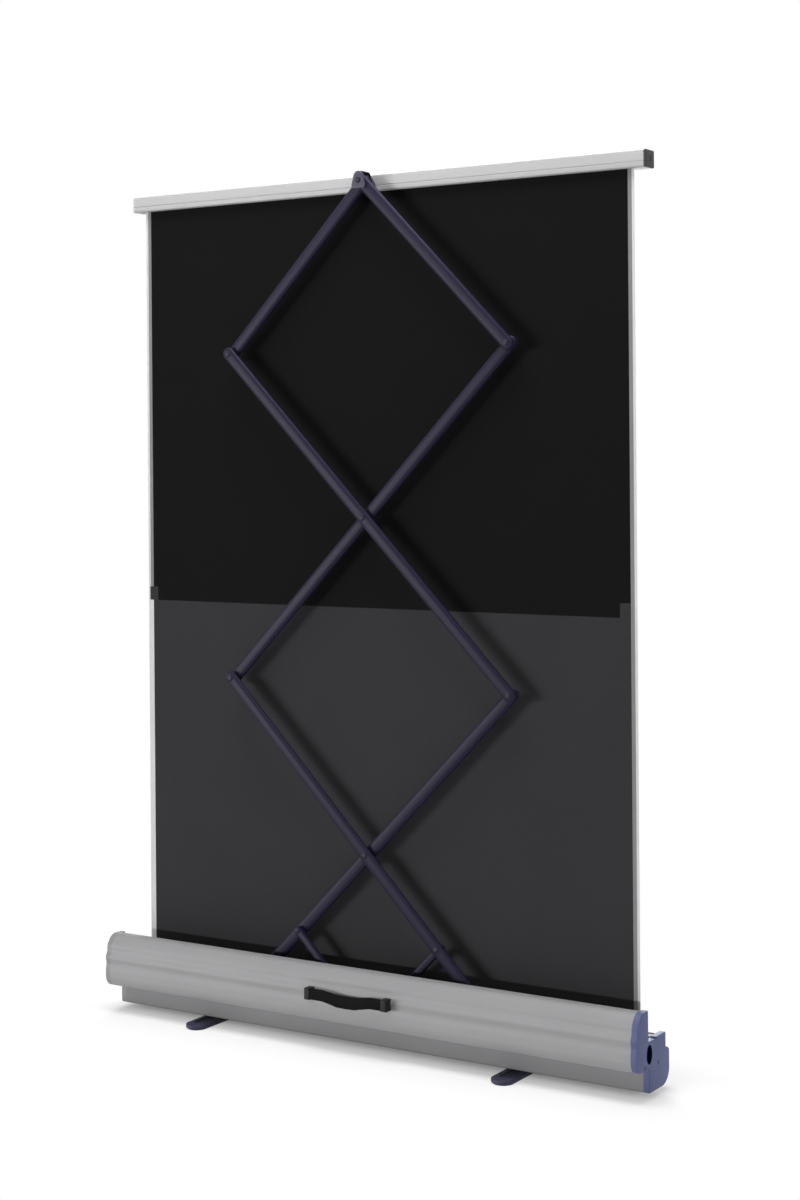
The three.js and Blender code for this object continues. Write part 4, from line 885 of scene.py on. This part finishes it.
corners = [(x * FLOOR_HALF, y * FLOOR_HALF, 0) for x, y in ((-1, -1), (1, -1), (1, 1), (-1, 1))]
floor_mesh = bpy.data.meshes.new("studio_floor")
floor_mesh.from_pydata(corners, [], [(0, 1, 2, 3)])
floor = bpy.data.objects.new("studio_floor", floor_mesh)
bpy.context.scene.collection.objects.link(floor)
floor_paint = bpy.data.materials.new("studio_floor_paint")
floor_paint.use_nodes = True
nodes = floor_paint.node_tree.nodes
links = floor_paint.node_tree.links
paint = nodes["Principled BSDF"]
paint.inputs["Base Color"].default_value = (0.86, 0.86, 0.86, 1)
paint.inputs["Roughness"].default_value = 0.9
paint.inputs["Specular IOR Level"].default_value = 0.1
spot = nodes.new("ShaderNodeTexCoord").outputs["Object"]
for operation, amount in (("SUBTRACT", FOOTPRINT_MIDDLE), ("ABSOLUTE", None), ("SUBTRACT", FOOTPRINT),
                          ("MAXIMUM", (0, 0, 0)), ("LENGTH", None)):
    step = nodes.new("ShaderNodeVectorMath")
    step.operation = operation
    links.new(spot, step.inputs[0])
    if amount is not None:
        step.inputs[1].default_value = amount
    spot = step.outputs["Value"] if operation == "LENGTH" else step.outputs["Vector"]
away = nodes.new("ShaderNodeMapRange")
away.inputs["From Max"].default_value = WHITE_FROM
links.new(spot, away.inputs["Value"])
fade = nodes.new("ShaderNodeMath")
fade.operation = "POWER"
fade.inputs[1].default_value = FADE_POWER
links.new(away.outputs["Result"], fade.inputs[0])
share = nodes.new("ShaderNodeMath")
share.operation = "MULTIPLY"
links.new(white_rays(floor_paint.node_tree), share.inputs[0])
links.new(fade.outputs[0], share.inputs[1])
glow = nodes.new("ShaderNodeEmission")
mix = nodes.new("ShaderNodeMixShader")
links.new(share.outputs[0], mix.inputs["Fac"])
links.new(paint.outputs["BSDF"], mix.inputs[1])
links.new(glow.outputs["Emission"], mix.inputs[2])
links.new(mix.outputs["Shader"], nodes["Material Output"].inputs["Surface"])
floor.data.materials.append(floor_paint)

world = bpy.data.worlds.new("studio_light")
world.use_nodes = True
bpy.context.scene.world = world
background = world.node_tree.nodes["Background"]
background.inputs["Color"].default_value = (1, 1, 1, 1)
strength = world.node_tree.nodes.new("ShaderNodeMapRange")
strength.inputs["To Min"].default_value = ALL_ROUND_LIGHT
world.node_tree.links.new(white_rays(world.node_tree), strength.inputs["Value"])
world.node_tree.links.new(strength.outputs["Result"], background.inputs["Strength"])


def lamp(name, spot, aim, width, height, watts):
    data = bpy.data.lights.new(name, "AREA")
    data.shape = "RECTANGLE"
    data.size = width
    data.size_y = height
    data.energy = watts
    source = bpy.data.objects.new(name, data)
    source.location = spot
    source.rotation_euler = (Vector(aim) - Vector(spot)).to_track_quat("-Z", "Y").to_euler()
    bpy.context.scene.collection.objects.link(source)


lamp("key_lamp", spot=(12.3, 14.7, 0.06), aim=(0, 0, 0.7), width=8.0, height=1.44, watts=4600)
lamp("top_lamp", spot=(0.0, 0.35, 3.4), aim=(0, 0, 0), width=1.8, height=1.8, watts=125)
lamp("side_lamp", spot=(-3.3, 0.25, 0.6), aim=(0, 0.03, 0.1), width=0.8, height=0.8, watts=22)
lamp("front_lamp", spot=(1.7, -3.5, 1.5), aim=(0, 0, 0.8), width=1.2, height=1.2, watts=100)


# Camera: behind the screen and to its right, just over a metre up, level and rolled by under
# half a degree. A small shift down frames the object with its uprights upright.
CAMERA_SPOT = (-2.1085, 3.2249, 1.1004)
CAMERA_TURN = 0.5651
CAMERA_ROLL = 0.0076
right = Vector((-math.cos(CAMERA_TURN), -math.sin(CAMERA_TURN), 0))
up = Vector((0, 0, 1))
back = Vector((-math.sin(CAMERA_TURN), math.cos(CAMERA_TURN), 0))
rolled_right = right * math.cos(CAMERA_ROLL) - up * math.sin(CAMERA_ROLL)
rolled_up = up * math.cos(CAMERA_ROLL) + right * math.sin(CAMERA_ROLL)
turn = Matrix((rolled_right, rolled_up, back)).transposed().to_4x4()
camera_data = bpy.data.cameras.new("photo_camera")
camera_data.sensor_fit = "VERTICAL"
camera_data.sensor_height = 36.0
camera_data.lens = 61.5
camera_data.shift_y = -0.1182
camera_data.clip_end = 60
camera = bpy.data.objects.new("photo_camera", camera_data)
camera.matrix_world = Matrix.Translation(CAMERA_SPOT) @ turn
bpy.context.scene.collection.objects.link(camera)
bpy.context.scene.camera = camera
bpy.context.scene.view_settings.view_transform = "Standard"
